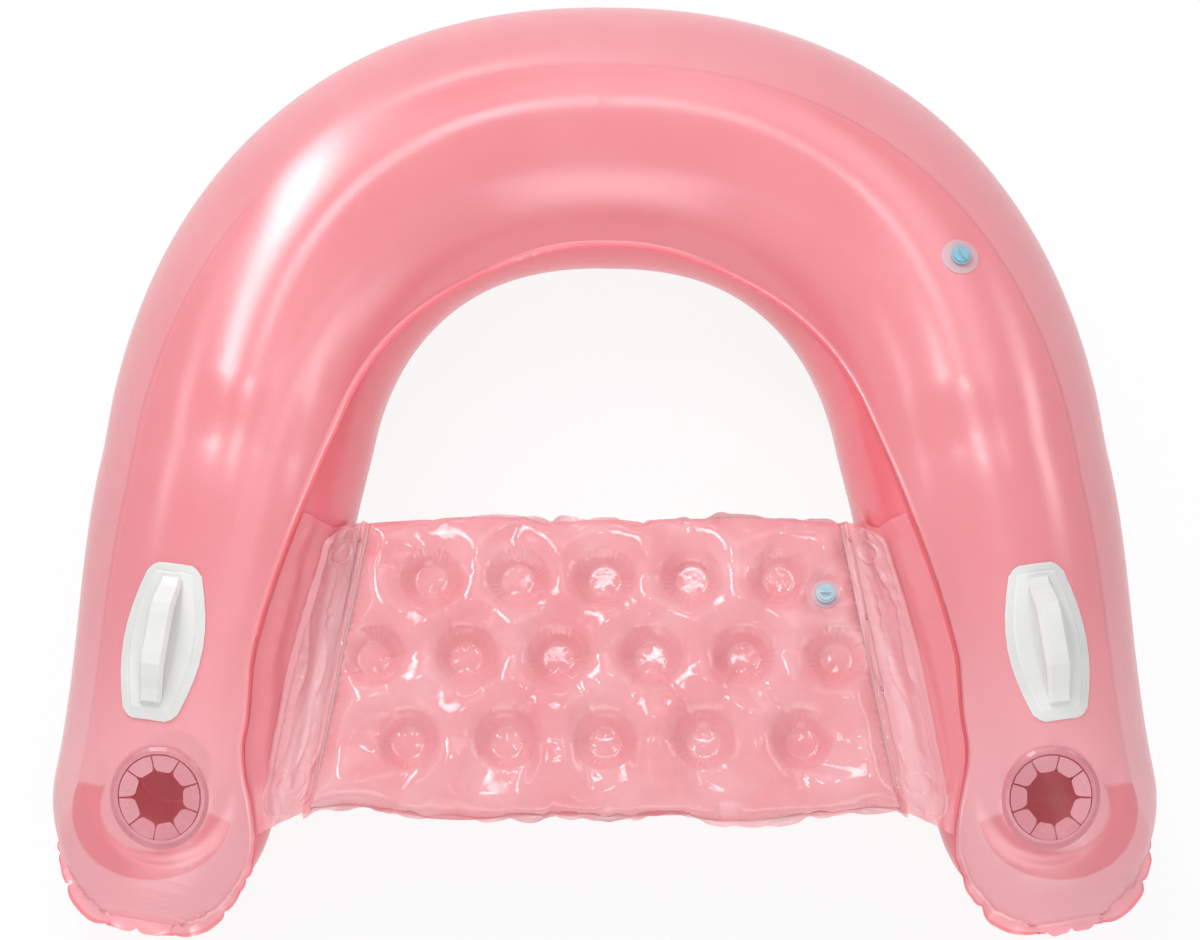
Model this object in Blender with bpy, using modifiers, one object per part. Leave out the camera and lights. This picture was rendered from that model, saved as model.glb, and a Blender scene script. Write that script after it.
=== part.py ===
"""Inflatable pool chair: a horseshoe tube of two welded film sheets, a tufted
seat slung between its arms, two cup holders, two moulded handles, two valves.

Metres, +Z up. The origin is under the middle of the chair, at floor level.
The arch that backs the sitter points to +Y and the arms reach towards -Y.
"""

import math

import bmesh
import bpy
from mathutils import Matrix, Vector

# Film and welds
FILM = 0.0004
WELD_GAP = 0.0005
SEAM_LIP = 0.005
CLEARANCE = 0.0003
LAY_ON = 0.0006

# Centreline of the horseshoe tube, seen from above
ARCH_HALF_WIDTH = 0.380
ARCH_RISE = 0.444
ARCH_FULLNESS = 2.28
ARM_SPLAY = math.radians(10)
ARM_RUN = 0.520

# Inflated radius of the tube, and where along it each one is reached:
# -1 is the crown of the arch, 0 the start of an arm and 1 its tip
CROWN_RADIUS = 0.138
SHOULDER_RADIUS = 0.139
SPRING_RADIUS = 0.1365
ELBOW_RADIUS = 0.134
ARM_RADIUS = 0.111
TIP_RADIUS = 0.092
CROWN_SHARE = -1.0
SHOULDER_SHARE = -0.5
SPRING_SHARE = 0.0
ELBOW_SHARE = 0.15
TAPERED_SHARE = 0.76
TIP_SHARE = 1.0

# Rounded arm tips: the plan closes over the first length, the height over the second
TIP_WIDTH_RUN = 0.105
TIP_HEIGHT_RUN = 0.220
TIP_SQUARENESS = 2.4
TIP_CLOSE_SHARE = 0.97
TIP_DROOP_SHARE = 0.12
FLOOR_FLAT_DEPTH = 0.0005

# Seam angles round the tube: 0 faces the inside of the horseshoe, 90 is up
CROWN_SEAM = math.radians(13)
SHOULDER_SEAM = math.radians(10)
ELBOW_SEAM = math.radians(54)
ARM_SEAM = math.radians(48)
SHOULDER_SEAM_SHARE = -0.7
ELBOW_SEAM_SHARE = 0.5
ARM_SEAM_SHARE = 0.66
OUTER_SEAM = math.radians(210)
SIDE_ANGLE = math.radians(180)
DOWN_ANGLE = math.radians(270)

# Seat pad
SEAT_HEIGHT = 0.150
SEAT_REAR_FROM_CROWN = 0.436
SEAT_DEPTH = 0.303
SEAT_REAR_HALF = 0.238
SEAT_FRONT_HALF = 0.290
SEAT_FLANGE = 0.009
SEAT_CROWN_TOP = 0.025
SEAT_CROWN_BOTTOM = 0.021
SEAT_PUFF_RUN = 0.030
DOT_RADIUS = 0.0175
DOT_PITCH_SHARE = 0.176
DOT_ROW_SHARES = (0.205, 0.475, 0.765)
DOT_COUNTS = (5, 6, 5)
HALF_COLUMNS = 5
FRONT_LINE_SHARE = 0.9

# Film webs and doubled strips that hang the seat from the arms
WEB_LAP = 0.007
WEB_SEAM_MARGIN = math.radians(2.5)
WEB_COLUMNS = 5
WEB_LIFT = 0.0014
STRIP_REAR_WIDTH = 0.078
STRIP_FRONT_WIDTH = 0.054
STRIP_THICKNESS = 0.0008
STRIP_LIFT = 0.0020
STRIP_COLUMNS = 5
STRIP_END_MARGIN = 0.003
STRIP_END_RUN = 0.022
STRIP_BLUNT_SHARE = 0.9

# Cup holders
CUP_FROM_TIP = 0.100
CUP_ANGLE = math.radians(85)
CUP_HALF_LENGTH = 0.0445
CUP_HALF_WIDTH = 0.0410
CUP_FLOOR_RADIUS = 0.0370
CUP_DEPTH = 0.095
CUP_FILM = 0.0006
COLLAR_WIDTH = 0.0085
COLLAR_HEIGHT = 0.0030
COLLAR_EDGE = 0.0010
COLLAR_ROLL_SHARE = 0.4
COLLAR_INNER_SHARE = 0.75
CUP_WALL_INSET = 0.0012
CUP_WAIST_SHARE = 0.35
CUP_CUT = 0.025
HOLE_MARGIN = 0.0006
PETALS = 9
PETAL_LENGTH = 0.0140
PETAL_THICKNESS = 0.0012
PETAL_GAP = 0.0008
PETAL_SLIT = 0.0018
PETAL_LIFT = 0.0008
PETAL_DISH = math.radians(14)
PETAL_ROOT_FACETS = 4
PETAL_TIP_SHARES = ((0.72, 1.0), (0.93, 0.88), (1.0, 0.66))

# Moulded handles
HANDLE_FROM_TIP = 0.243
HANDLE_ANGLE = math.radians(97)
HANDLE_LENGTH = 0.154
HANDLE_WIDTH = 0.081
HANDLE_END_WIDTH = 0.050
HANDLE_FLANGE = 0.010
HANDLE_PLATE = 0.0016
HANDLE_PAD_RISE = 0.0012
HANDLE_CORNER = 0.012
HANDLE_ROUND_SHARE = 0.7
HANDLE_BEVEL_SHARE = 0.2
HANDLE_ROWS = 8
HANDLE_COLUMNS = 4
GRIP_SPAN = 0.122
GRIP_WIDTH = 0.021
GRIP_THICKNESS = 0.0085
GRIP_RISE = 0.027
GRIP_RAMP_SHARE = 0.30
GRIP_SINK_SHARE = 0.5
GRIP_ROWS = 12
GRIP_SECTION_SHARES = ((-1, 0), (-1, 0.55), (-0.72, 1), (0.72, 1), (1, 0.55), (1, 0))

# Valves
RING_VALVE_SHARE = -0.208
RING_VALVE_ANGLE = math.radians(99.5)
SEAT_VALVE_RISE = 0.010
SEAT_VALVE_FLANGE_RADIUS = 0.0145
SEAT_VALVE_FLAT_RADIUS = 0.030
SEAT_VALVE_BLEND = 0.012
VALVE_FLANGE_RADIUS = 0.019
VALVE_FLANGE = 0.0009
VALVE_HUB_RADIUS = 0.0100
VALVE_HUB_RISE = 0.0014
VALVE_HUB_DEPTH = 0.007
VALVE_EDGE_SHARE = 0.5
VALVE_CUT = 0.006
STEM_RADIUS = 0.0077
STEM_BORE = 0.0046
STEM_LENGTH = 0.021
STEM_LIP_RADIUS = 0.0100
STEM_LIP = 0.0014
PLUG_RADIUS = 0.0043
PLUG_LENGTH = 0.010
PLUG_CAP_RADIUS = 0.0078
PLUG_CAP = 0.0013
TAB_LENGTH = 0.012
TAB_THICKNESS = 0.0018
TAB_HEIGHT = 0.0032
TAB_TAPER_SHARE = 0.8
FLAP_THICKNESS = 0.0005
FLAP_MARGIN = 0.0008

# Facet counts
CAP_ROWS = 8
ARM_ROWS = 4
ARCH_ROWS = 12
OVER_COLUMNS = 9
OUTER_COLUMNS = 2
UNDER_OUTER_COLUMNS = 3
UNDER_INNER_COLUMNS = 7
ROUND_FACETS = 36
VALVE_FACETS = 20
WEB_ROWS = 12
STATION_STEP = 0.001
SHARP_ANGLE = math.radians(40)

RADIUS_KEYS = (
    (CROWN_SHARE, CROWN_RADIUS),
    (SHOULDER_SHARE, SHOULDER_RADIUS),
    (SPRING_SHARE, SPRING_RADIUS),
    (ELBOW_SHARE, ELBOW_RADIUS),
    (TAPERED_SHARE, ARM_RADIUS),
    (TIP_SHARE, TIP_RADIUS),
)
SEAM_KEYS = (
    (CROWN_SHARE, CROWN_SEAM),
    (SHOULDER_SEAM_SHARE, SHOULDER_SEAM),
    (ELBOW_SEAM_SHARE, ELBOW_SEAM),
    (ARM_SEAM_SHARE, ARM_SEAM),
    (TIP_SHARE, 0.0),
)
OUTER_SEAM_KEYS = (
    (CROWN_SHARE, OUTER_SEAM),
    (TAPERED_SHARE, OUTER_SEAM),
    (TIP_SHARE, SIDE_ANGLE),
)

PINK = (0.83, 0.30, 0.34)
PINK_DEEP = (0.72, 0.22, 0.27)
PINK_PALE = (0.88, 0.45, 0.48)
WHITE = (0.90, 0.90, 0.88)
CLEAR = (0.86, 0.72, 0.74)
BLUE = (0.35, 0.62, 0.75)


def eased(share):
    return share * share * (3 - 2 * share)


def keyed(keys, station):
    """The value at a station, eased between the (station, value) pairs."""
    for (low, first), (high, last) in zip(keys, keys[1:]):
        if station <= high:
            return first + (last - first) * eased((station - low) / (high - low))
    return keys[-1][1]


def between(first, last, steps):
    """Evenly spaced values from first to last, both ends included."""
    return [first + (last - first) * i / steps for i in range(steps + 1)]


# The horseshoe tube


def spring_angle():
    """The superellipse angle at which its tangent runs along the splayed arm."""
    power = 2 - 2 / ARCH_FULLNESS
    slope = math.tan(ARM_SPLAY) * ARCH_RISE / ARCH_HALF_WIDTH
    return math.atan(slope ** (1 / power))


def plan(station):
    """Centreline point and unit direction towards the arm's tip, on the +X side,
    measured from the centre of the arch."""
    share = 2 / ARCH_FULLNESS
    start = spring_angle()
    angle = start + (math.pi / 2 - start) * max(-station, 0)
    c, s = math.cos(angle), math.sin(angle)
    c = max(c, 0)
    point = Vector((ARCH_HALF_WIDTH * c**share, ARCH_RISE * s**share))
    along = Vector((ARCH_HALF_WIDTH * s ** (2 - share), -ARCH_RISE * c ** (2 - share)))
    along.normalize()
    return point + along * ARM_RUN * max(station, 0), along


def section(station):
    """Half width, half height and centre height of the tube at a station."""
    radius = keyed(RADIUS_KEYS, station)
    to_tip = (1 - station) * ARM_RUN
    close = max(1 - to_tip / TIP_WIDTH_RUN, 0) * TIP_CLOSE_SHARE
    fall = min(max(1 - to_tip / TIP_HEIGHT_RUN, 0), 1)
    width = (1 - close**TIP_SQUARENESS) ** (1 / TIP_SQUARENESS)
    height = math.sqrt(1 - fall * fall)
    centre = (radius - FLOOR_FLAT_DEPTH) * (1 - TIP_DROOP_SHARE * fall * fall)
    return radius * width, radius * height, centre


def local_skin(station, angle, lift):
    """A point of the tube's outer surface on the +X side, before centring."""
    point, along = plan(station)
    inward = Vector((along.y, -along.x))
    half_width, half_height, centre = section(station)
    flat = point + inward * math.cos(angle) * (half_width + lift)
    return Vector((flat.x, flat.y, centre + math.sin(angle) * (half_height + lift)))


def centring():
    """How far the arch's centre lies from the middle of the chair's length."""
    back = local_skin(CROWN_SHARE, SIDE_ANGLE, 0).y
    _, along = plan(TIP_SHARE)
    lip = SEAM_LIP * along.y
    sides = [local_skin(TIP_SHARE, angle, SEAM_LIP).y for angle in (0, SIDE_ANGLE)]
    return -(back + min(sides) + lip) / 2


ARCH_CENTRE_Y = centring()
SEAT_REAR_Y = ARCH_CENTRE_Y + ARCH_RISE - SEAT_REAR_FROM_CROWN


def skin(side, station, angle, lift=0.0):
    """A point of the tube's outer surface, lifted off it. side is 1 or -1."""
    point = local_skin(station, angle, lift)
    return Vector((side * point.x, point.y + ARCH_CENTRE_Y, point.z))


def skin_frame(side, station, angle):
    """Axes on the tube's surface: Z out of it, X along the arm to its tip."""
    step = STATION_STEP
    origin = skin(side, station, angle)
    along = skin(side, station + step, angle) - origin
    across = skin(side, station, angle - step) - origin
    normal = along.cross(across).normalized() * -side
    along.normalize()
    rows = Matrix((along, normal.cross(along), normal)).transposed()
    return Matrix.Translation(origin) @ rows.to_4x4()


def wrapped(side, station, angle, along, across, lift):
    """A point laid on the tube: along and across are lengths on its surface,
    towards the tip and towards the inside of the horseshoe."""
    step = STATION_STEP
    ahead = skin(side, station + step, angle) - skin(side, station - step, angle)
    there = station + along * 2 * step / ahead.length
    turn = across / keyed(RADIUS_KEYS, there)
    return skin(side, there, angle - turn, lift)


def tube_stations():
    """(side, station) of each row of the tube, from one tip round to the other."""
    cap = [1 - TIP_HEIGHT_RUN / ARM_RUN * (1 - math.cos(turn))
           for turn in between(0, math.pi / 2, CAP_ROWS)]
    arm = between(cap[-1], SPRING_SHARE, ARM_ROWS)[1:]
    arch = between(SPRING_SHARE, CROWN_SHARE, ARCH_ROWS)[1:]
    half = cap + arm + arch
    return [(1, s) for s in half] + [(-1, s) for s in reversed(half[:-1])]


def over_angles(inner, outer):
    return between(inner, SIDE_ANGLE, OVER_COLUMNS) + between(
        SIDE_ANGLE, outer, OUTER_COLUMNS)[1:]


def under_angles(inner, outer, radius):
    """Angles under the tube, with one level facet where it stands on the floor."""
    flat = math.acos(1 - FLOOR_FLAT_DEPTH / radius)
    left = between(outer, DOWN_ANGLE - flat, UNDER_OUTER_COLUMNS)
    right = between(DOWN_ANGLE + flat, math.tau + inner, UNDER_INNER_COLUMNS)
    return left + right


def seam_point(side, station, angle, turn, lip):
    """A point on one sheet's weld: turn is the way round to that sheet."""
    point, along = plan(station)
    inward = Vector((along.y, -along.x))
    base = local_skin(station, angle, lip)
    offset = turn * (WELD_GAP / 2 + FILM)
    flat = inward * -math.sin(angle) * offset
    return Vector((side * (base.x + flat.x), base.y + flat.y + ARCH_CENTRE_Y,
                   base.z + math.cos(angle) * offset))


def sheet_row(side, station, upper):
    """One row of points across the upper or the lower sheet, lips included."""
    inner = keyed(SEAM_KEYS, station)
    outer = keyed(OUTER_SEAM_KEYS, station)
    if upper:
        angles = over_angles(inner, outer)
    else:
        angles = under_angles(inner, outer, keyed(RADIUS_KEYS, station))
    first = [seam_point(side, station, angles[0], 1, lip) for lip in (SEAM_LIP, 0)]
    last = [seam_point(side, station, angles[-1], -1, lip) for lip in (0, SEAM_LIP)]
    middle = [skin(side, station, angle) for angle in angles[1:-1]]
    return first + middle + last


def tip_rows(side, upper):
    """The closing row of an arm's tip and the weld lip in front of it."""
    row = sheet_row(side, TIP_SHARE, upper)
    level = section(TIP_SHARE)[2] + (1 if upper else -1) * (WELD_GAP / 2 + FILM)
    closing = [Vector((p.x, p.y, level)) for p in row]
    _, along = plan(TIP_SHARE)
    ahead = Vector((side * along.x, along.y, 0)) * SEAM_LIP
    return closing, [p + ahead for p in closing]


def tube_sheet_rows(upper):
    stations = tube_stations()
    first, first_lip = tip_rows(1, upper)
    last, last_lip = tip_rows(-1, upper)
    middle = [sheet_row(side, station, upper) for side, station in stations[1:-1]]
    return [first_lip, first] + middle + [last, last_lip]


# Making objects


def clear_scene():
    for obj in list(bpy.data.objects):
        bpy.data.objects.remove(obj, do_unlink=True)


def collection(name):
    made = bpy.data.collections.new(name)
    bpy.context.scene.collection.children.link(made)
    return made


def material(name, colour, roughness, alpha=1.0):
    made = bpy.data.materials.new(name)
    made.use_nodes = True
    shader = made.node_tree.nodes["Principled BSDF"]
    shader.inputs["Base Color"].default_value = (*colour, 1)
    shader.inputs["Roughness"].default_value = roughness
    shader.inputs["Metallic"].default_value = 0
    shader.inputs["Alpha"].default_value = alpha
    return made


def placed(name, mesh, finish, matrix=None):
    """A new object of the chair with this mesh and material."""
    obj = bpy.data.objects.new(name, mesh)
    PARTS.objects.link(obj)
    mesh.materials.append(finish)
    if matrix:
        obj.matrix_world = matrix
    return obj


def mesh_from(name, bm):
    mesh = bpy.data.meshes.new(name)
    bm.to_mesh(mesh)
    bm.free()
    mesh.shade_smooth()
    mesh.set_sharp_from_angle(angle=SHARP_ANGLE)
    return mesh


def grid_mesh(name, rows, flipped=False, crossed=False):
    """An open surface through rows of points. crossed turns each facet's diagonal."""
    bm = bmesh.new()
    verts = [[bm.verts.new(point) for point in row] for row in rows]
    for a, b in zip(verts, verts[1:]):
        for i in range(len(a) - 1):
            first = (a[i], a[i + 1], b[i]) if crossed else (a[i], a[i + 1], b[i + 1])
            last = (a[i + 1], b[i + 1], b[i]) if crossed else (a[i], b[i + 1], b[i])
            for corners in (first, last):
                bm.faces.new(corners[::-1] if flipped else corners)
    return mesh_from(name, bm)


def slab_mesh(name, top_rows, bottom_rows):
    """A solid between two grids of as many points, closed round its edge."""
    bm = bmesh.new()
    grids = []
    for rows in (top_rows, bottom_rows):
        grids.append([[bm.verts.new(point) for point in row] for row in rows])
    top, bottom = grids
    for grid in grids:
        for a, b in zip(grid, grid[1:]):
            for i in range(len(a) - 1):
                bm.faces.new((a[i], a[i + 1], b[i + 1], b[i]))
    edges = []
    for grid in grids:
        right = [row[-1] for row in grid[1:]]
        left = [row[0] for row in grid[-2:0:-1]]
        edges.append(grid[0] + right + grid[-1][-2::-1] + left)
    for i in range(len(edges[0])):
        j = (i + 1) % len(edges[0])
        bm.faces.new((edges[0][i], edges[0][j], edges[1][j], edges[1][i]))
    bmesh.ops.recalc_face_normals(bm, faces=bm.faces)
    return mesh_from(name, bm)


def loop_mesh(name, rings, closed):
    """A solid through rings of points: a closed ring of rings, or capped ends."""
    bm = bmesh.new()
    verts = [[bm.verts.new(point) for point in ring] for ring in rings]
    pairs = list(zip(verts, verts[1:]))
    if closed:
        pairs.append((verts[-1], verts[0]))
    for a, b in pairs:
        for i in range(len(a)):
            j = (i + 1) % len(a)
            bm.faces.new((a[i], a[j], b[j], b[i]))
    if not closed:
        bm.faces.new(verts[0][::-1])
        bm.faces.new(verts[-1])
    bmesh.ops.recalc_face_normals(bm, faces=bm.faces)
    return mesh_from(name, bm)


def thickened(obj, thickness):
    """Film made from an open surface, which stays on its outside."""
    solid = obj.modifiers.new("film", "SOLIDIFY")
    solid.thickness = thickness
    solid.offset = -1
    return obj


def turned_mesh(name, profile):
    """A solid of revolution from (radius, height) points, down the outer side."""
    rings = []
    for i in range(VALVE_FACETS):
        turn = 2 * math.pi * i / VALVE_FACETS
        rings.append([Vector((r * math.cos(turn), r * math.sin(turn), z))
                      for r, z in profile])
    return loop_mesh(name, rings, closed=True)


def cutter(name, mesh, matrix):
    obj = bpy.data.objects.new(name, mesh)
    CUTTERS.objects.link(obj)
    obj.matrix_world = matrix
    obj.hide_render = True
    obj.display_type = "WIRE"
    return obj


def cut(obj, tool):
    hole = obj.modifiers.new("hole", "BOOLEAN")
    hole.operation = "DIFFERENCE"
    hole.solver = "EXACT"
    hole.object = tool


def oval_mesh(name, half_length, half_width, low, high, facets=ROUND_FACETS):
    """An upright prism over an oval."""
    def ring(z):
        turns = [2 * math.pi * i / facets for i in range(facets)]
        return [Vector((half_length * math.cos(t), half_width * math.sin(t), z))
                for t in turns]
    return loop_mesh(name, [ring(low), ring(high)], closed=False)


# The pieces


def make_tube():
    for name, upper, finish in (("ring_top_sheet", True, "film_pink"),
                                ("ring_bottom_sheet", False, "film_pink_deep")):
        mesh = grid_mesh(name, tube_sheet_rows(upper), crossed=not upper)
        thickened(placed(name, mesh, FINISH[finish]), FILM)
    return bpy.data.objects["ring_top_sheet"]


def seat_half_width(share):
    return SEAT_REAR_HALF + (SEAT_FRONT_HALF - SEAT_REAR_HALF) * share


def seat_dots():
    """(row share, column number) of each welded dot of the seat."""
    for share, count in zip(DOT_ROW_SHARES, DOT_COUNTS):
        for i in range(count):
            yield share, 2 * i - count + 1


def seat_place(share, column):
    """Plan position of a column line of the seat at a share of its depth."""
    x = column * DOT_PITCH_SHARE * seat_half_width(share)
    return Vector((x, SEAT_REAR_Y - share * SEAT_DEPTH))


DOT_CENTRES = [seat_place(*dot) for dot in seat_dots()]
SEAT_VALVE = seat_place(DOT_ROW_SHARES[0] + DOT_RADIUS / SEAT_DEPTH, HALF_COLUMNS)


def seat_free(point):
    """Distance of a point of the seat from the nearest weld."""
    share = (SEAT_REAR_Y - point.y) / SEAT_DEPTH
    free = min(share, 1 - share) * SEAT_DEPTH
    free = min(free, seat_half_width(share) - abs(point.x))
    free = min([free] + [(point - dot).length - DOT_RADIUS for dot in DOT_CENTRES])
    return max(free, 0)


def lower_rise(point, crown=SEAT_CROWN_BOTTOM):
    """How far the puffed film stands from the seat's middle plane."""
    puff = min(seat_free(point) / SEAT_PUFF_RUN, 1)
    return crown * math.sqrt(1 - (1 - puff) ** 2)


def upper_rise(point):
    """The same for the upper film, which lies level where the valve is welded in."""
    from_valve = (point - SEAT_VALVE).length - SEAT_VALVE_FLAT_RADIUS
    blend = eased(min(max(from_valve / SEAT_VALVE_BLEND, 0), 1))
    level = min(SEAT_VALVE_RISE, seat_free(point))
    return lower_rise(point, SEAT_CROWN_TOP) * blend + level * (1 - blend)


def seat_lines():
    """Depth lines of the seat's grid: (share, dot offset, flange offset)."""
    lines = [(0, 0, -1), (0, 0, 0)]
    for i, share in enumerate(DOT_ROW_SHARES):
        lines += [(share, step, 0) for step in (-1, 0, 1)]
        if i + 1 < len(DOT_ROW_SHARES):
            lines.append(((share + DOT_ROW_SHARES[i + 1]) / 2, 0, 0))
    return lines + [(FRONT_LINE_SHARE, 0, 0), (1, 0, 0), (1, 0, 1)]


def seat_grid():
    """Plan points of the seat's grid, drawn onto circles round the dots."""
    dots = set(seat_dots())
    rows = []
    for share, step, flange in seat_lines():
        along = share + step * DOT_RADIUS / SEAT_DEPTH
        half = seat_half_width(along)
        y = SEAT_REAR_Y - along * SEAT_DEPTH - flange * SEAT_FLANGE
        row = [Vector((-half - SEAT_FLANGE, y)), Vector((-half, y))]
        for column in range(-HALF_COLUMNS, HALF_COLUMNS + 1):
            centre = seat_place(share, column)
            on_dot = (share, column) in dots
            for side in (-1, 0, 1):
                if on_dot and side and step:
                    offset = Vector((side, -step)).normalized() * DOT_RADIUS
                    row.append(centre + offset)
                elif on_dot:
                    row.append(centre + Vector((side, -step)) * DOT_RADIUS)
                else:
                    row.append(Vector((centre.x + side * DOT_RADIUS, y)))
        rows.append(row + [Vector((half, y)), Vector((half + SEAT_FLANGE, y))])
    return rows


def seat_sheet(name, rise, facing, finish):
    """One tufted sheet of the seat. facing is 1 for the top, -1 for the bottom."""
    base = WELD_GAP / 2 + FILM
    rows = [[Vector((p.x, p.y, SEAT_HEIGHT + facing * (base + rise(p)))) for p in line]
            for line in seat_grid()]
    mesh = grid_mesh(name, rows, flipped=facing > 0)
    return thickened(placed(name, mesh, FINISH[finish]), FILM)


def station_at(y):
    """The arm station whose centreline has this Y."""
    start, along = plan(SPRING_SHARE)
    return (y - ARCH_CENTRE_Y - start.y) / (along.y * ARM_RUN)


def web_start_angle(station, edge, lift):
    """Where round the tube a film stretched from the seat's edge first touches it."""
    point, along = plan(station)
    half_width, _, centre = section(station)
    away = Vector(((edge - point.x) * along.y, SEAT_HEIGHT - centre))
    reach = max(away.length, half_width + lift)
    return math.atan2(away.y, away.x) + math.acos((half_width + lift) / reach)


def web_points(side, y):
    """Points across a web: from the lap on the seat's flange up to the ring seam."""
    share = (SEAT_REAR_Y - y) / SEAT_DEPTH
    edge = seat_half_width(share) + SEAT_FLANGE
    top = SEAT_HEIGHT + WELD_GAP / 2 + FILM + CLEARANCE + FILM
    station = station_at(y)
    high = keyed(SEAM_KEYS, station) - WEB_SEAM_MARGIN
    low = min(web_start_angle(station, edge, WEB_LIFT), high - WEB_SEAM_MARGIN)
    lap = [Vector((side * (edge - WEB_LAP), y, top)), Vector((side * edge, y, top))]
    flank = [skin(side, station, angle, WEB_LIFT)
             for angle in between(low, high, WEB_COLUMNS)]
    return lap + flank


def raised(line, side, lift):
    """The same line moved off the film it follows, with its bends kept parallel."""
    steps = [(b - a).normalized() for a, b in zip(line, line[1:])]
    outs = [Vector((-side * step.z, 0, side * step.x)).normalized() for step in steps]
    points = []
    for i, point in enumerate(line):
        before, after = outs[max(i - 1, 0)], outs[min(i, len(outs) - 1)]
        middle = (before + after).normalized()
        points.append(point + middle * (lift / middle.dot(after)))
    return points


def web_depths():
    return between(SEAT_REAR_Y, SEAT_REAR_Y - SEAT_DEPTH, WEB_ROWS)


def make_seat():
    top = seat_sheet("seat_top_sheet", upper_rise, 1, "film_pink")
    seat_sheet("seat_bottom_sheet", lower_rise, -1, "film_pink_deep")
    for side, word in ((1, "right"), (-1, "left")):
        rows = [web_points(side, y) for y in web_depths()]
        mesh = grid_mesh("seat_web_" + word, rows, flipped=side < 0)
        thickened(placed("seat_web_" + word, mesh, FINISH["film_pink_pale"]), FILM)
    return top


def strip_width(y):
    """Width of a doubled strip, which narrows towards the front as the web does."""
    share = (SEAT_REAR_Y - y) / SEAT_DEPTH
    return STRIP_REAR_WIDTH + (STRIP_FRONT_WIDTH - STRIP_REAR_WIDTH) * share


def strip_points(side, y, half_width):
    """Points across a doubled strip, lying on the web from the seat's edge outwards."""
    line = raised(web_points(side, y), side, STRIP_LIFT)
    lengths = [0]
    for a, b in zip(line, line[1:]):
        lengths.append(lengths[-1] + (b - a).length)
    points = []
    for share in between(-1, 1, STRIP_COLUMNS):
        reach = strip_width(y) / 2 + share * half_width
        i = max(k for k in range(len(line) - 1) if lengths[k] <= reach)
        part = (reach - lengths[i]) / (lengths[i + 1] - lengths[i])
        points.append(line[i].lerp(line[i + 1], part))
    return points


def make_strip(side, word):
    """A doubled strip of film with rounded ends, spot-welded over the web."""
    depths = web_depths()
    rear, front = depths[0] - STRIP_END_MARGIN, depths[-1] + STRIP_END_MARGIN
    rows = []
    for y in [rear] + depths[1:-1] + [front]:
        to_end = min(rear - y, y - front)
        blunt = max(1 - to_end / STRIP_END_RUN, 0) * STRIP_BLUNT_SHARE
        rows.append(strip_points(side, y, strip_width(y) / 2 * math.sqrt(1 - blunt**2)))
    mesh = grid_mesh("seat_strip_" + word, rows, flipped=side < 0)
    thickened(placed("seat_strip_" + word, mesh, FINISH["film_pink_pale"]),
              STRIP_THICKNESS)


# Cup holders


class Cup:
    """Where one cup holder sits on its arm, and points laid out round its mouth."""

    def __init__(self, side):
        self.side = side
        self.station = 1 - CUP_FROM_TIP / ARM_RUN
        self.frame = skin_frame(side, self.station, CUP_ANGLE)

    def rim(self, turn, outward, lift):
        """A point beside the mouth's oval, this far outside it, laid on the tube."""
        along = (CUP_HALF_LENGTH + outward) * math.cos(turn)
        across = (CUP_HALF_WIDTH + outward) * math.sin(turn)
        return wrapped(self.side, self.station, CUP_ANGLE, along, across, lift)

    def local(self, point):
        return self.frame.inverted() @ point

    def turns(self):
        return [2 * math.pi * i / ROUND_FACETS for i in range(ROUND_FACETS)]


def make_collar(cup, word):
    """The moulded ring welded round the mouth of a cup holder."""
    roll = COLLAR_WIDTH * COLLAR_ROLL_SHARE
    profile = [(0, LAY_ON), (0, LAY_ON + COLLAR_HEIGHT * COLLAR_INNER_SHARE),
               (roll, LAY_ON + COLLAR_HEIGHT), (COLLAR_WIDTH, LAY_ON + COLLAR_EDGE),
               (COLLAR_WIDTH, LAY_ON)]
    rings = [[cup.rim(turn, *spot) for spot in profile] for turn in cup.turns()]
    mesh = loop_mesh("cup_collar_" + word, rings, closed=True)
    placed("cup_collar_" + word, mesh, FINISH["cup_pink"])


def pocket_ring(cup, turn):
    """The wall of a cup pocket at one turn: down its outside and up its inside."""
    top = LAY_ON - CLEARANCE
    spots = []
    for film in (CUP_FILM, 0):
        rim = cup.local(cup.rim(turn, CUP_WALL_INSET + film, top))
        radius = CUP_FLOOR_RADIUS + film
        floor = Vector((radius * math.cos(turn),
                        -cup.side * radius * math.sin(turn), -CUP_DEPTH))
        wall = [rim, rim.lerp(floor, CUP_WAIST_SHARE), floor]
        spots += wall if film else wall[::-1]
    return [cup.frame @ spot for spot in spots]


def make_pocket(cup, word):
    """The hanging pocket of a cup holder and the disc set in its lower end."""
    rings = [pocket_ring(cup, turn) for turn in cup.turns()]
    mesh = loop_mesh("cup_pocket_" + word, rings, closed=True)
    placed("cup_pocket_" + word, mesh, FINISH["cup_pink"])
    radius = CUP_FLOOR_RADIUS - CLEARANCE
    top = CUP_FILM - CUP_DEPTH
    disc = oval_mesh("cup_floor_" + word, radius, radius, -CUP_DEPTH, top)
    placed("cup_floor_" + word, disc, FINISH["cup_pink"], cup.frame)


def cut_cup_hole(cup, word, sheet):
    """Opens the upper sheet where the pocket hangs through it."""
    outward = CUP_WALL_INSET + CUP_FILM + HOLE_MARGIN
    flat = [cup.local(cup.rim(turn, outward, 0)) for turn in cup.turns()]
    rings = [[Vector((p.x, p.y, z)) for p in flat] for z in (-CUP_CUT, CUP_CUT)]
    mesh = loop_mesh("cup_hole_" + word, rings, closed=False)
    cut(sheet, cutter("cup_hole_" + word, mesh, cup.frame))


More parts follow.
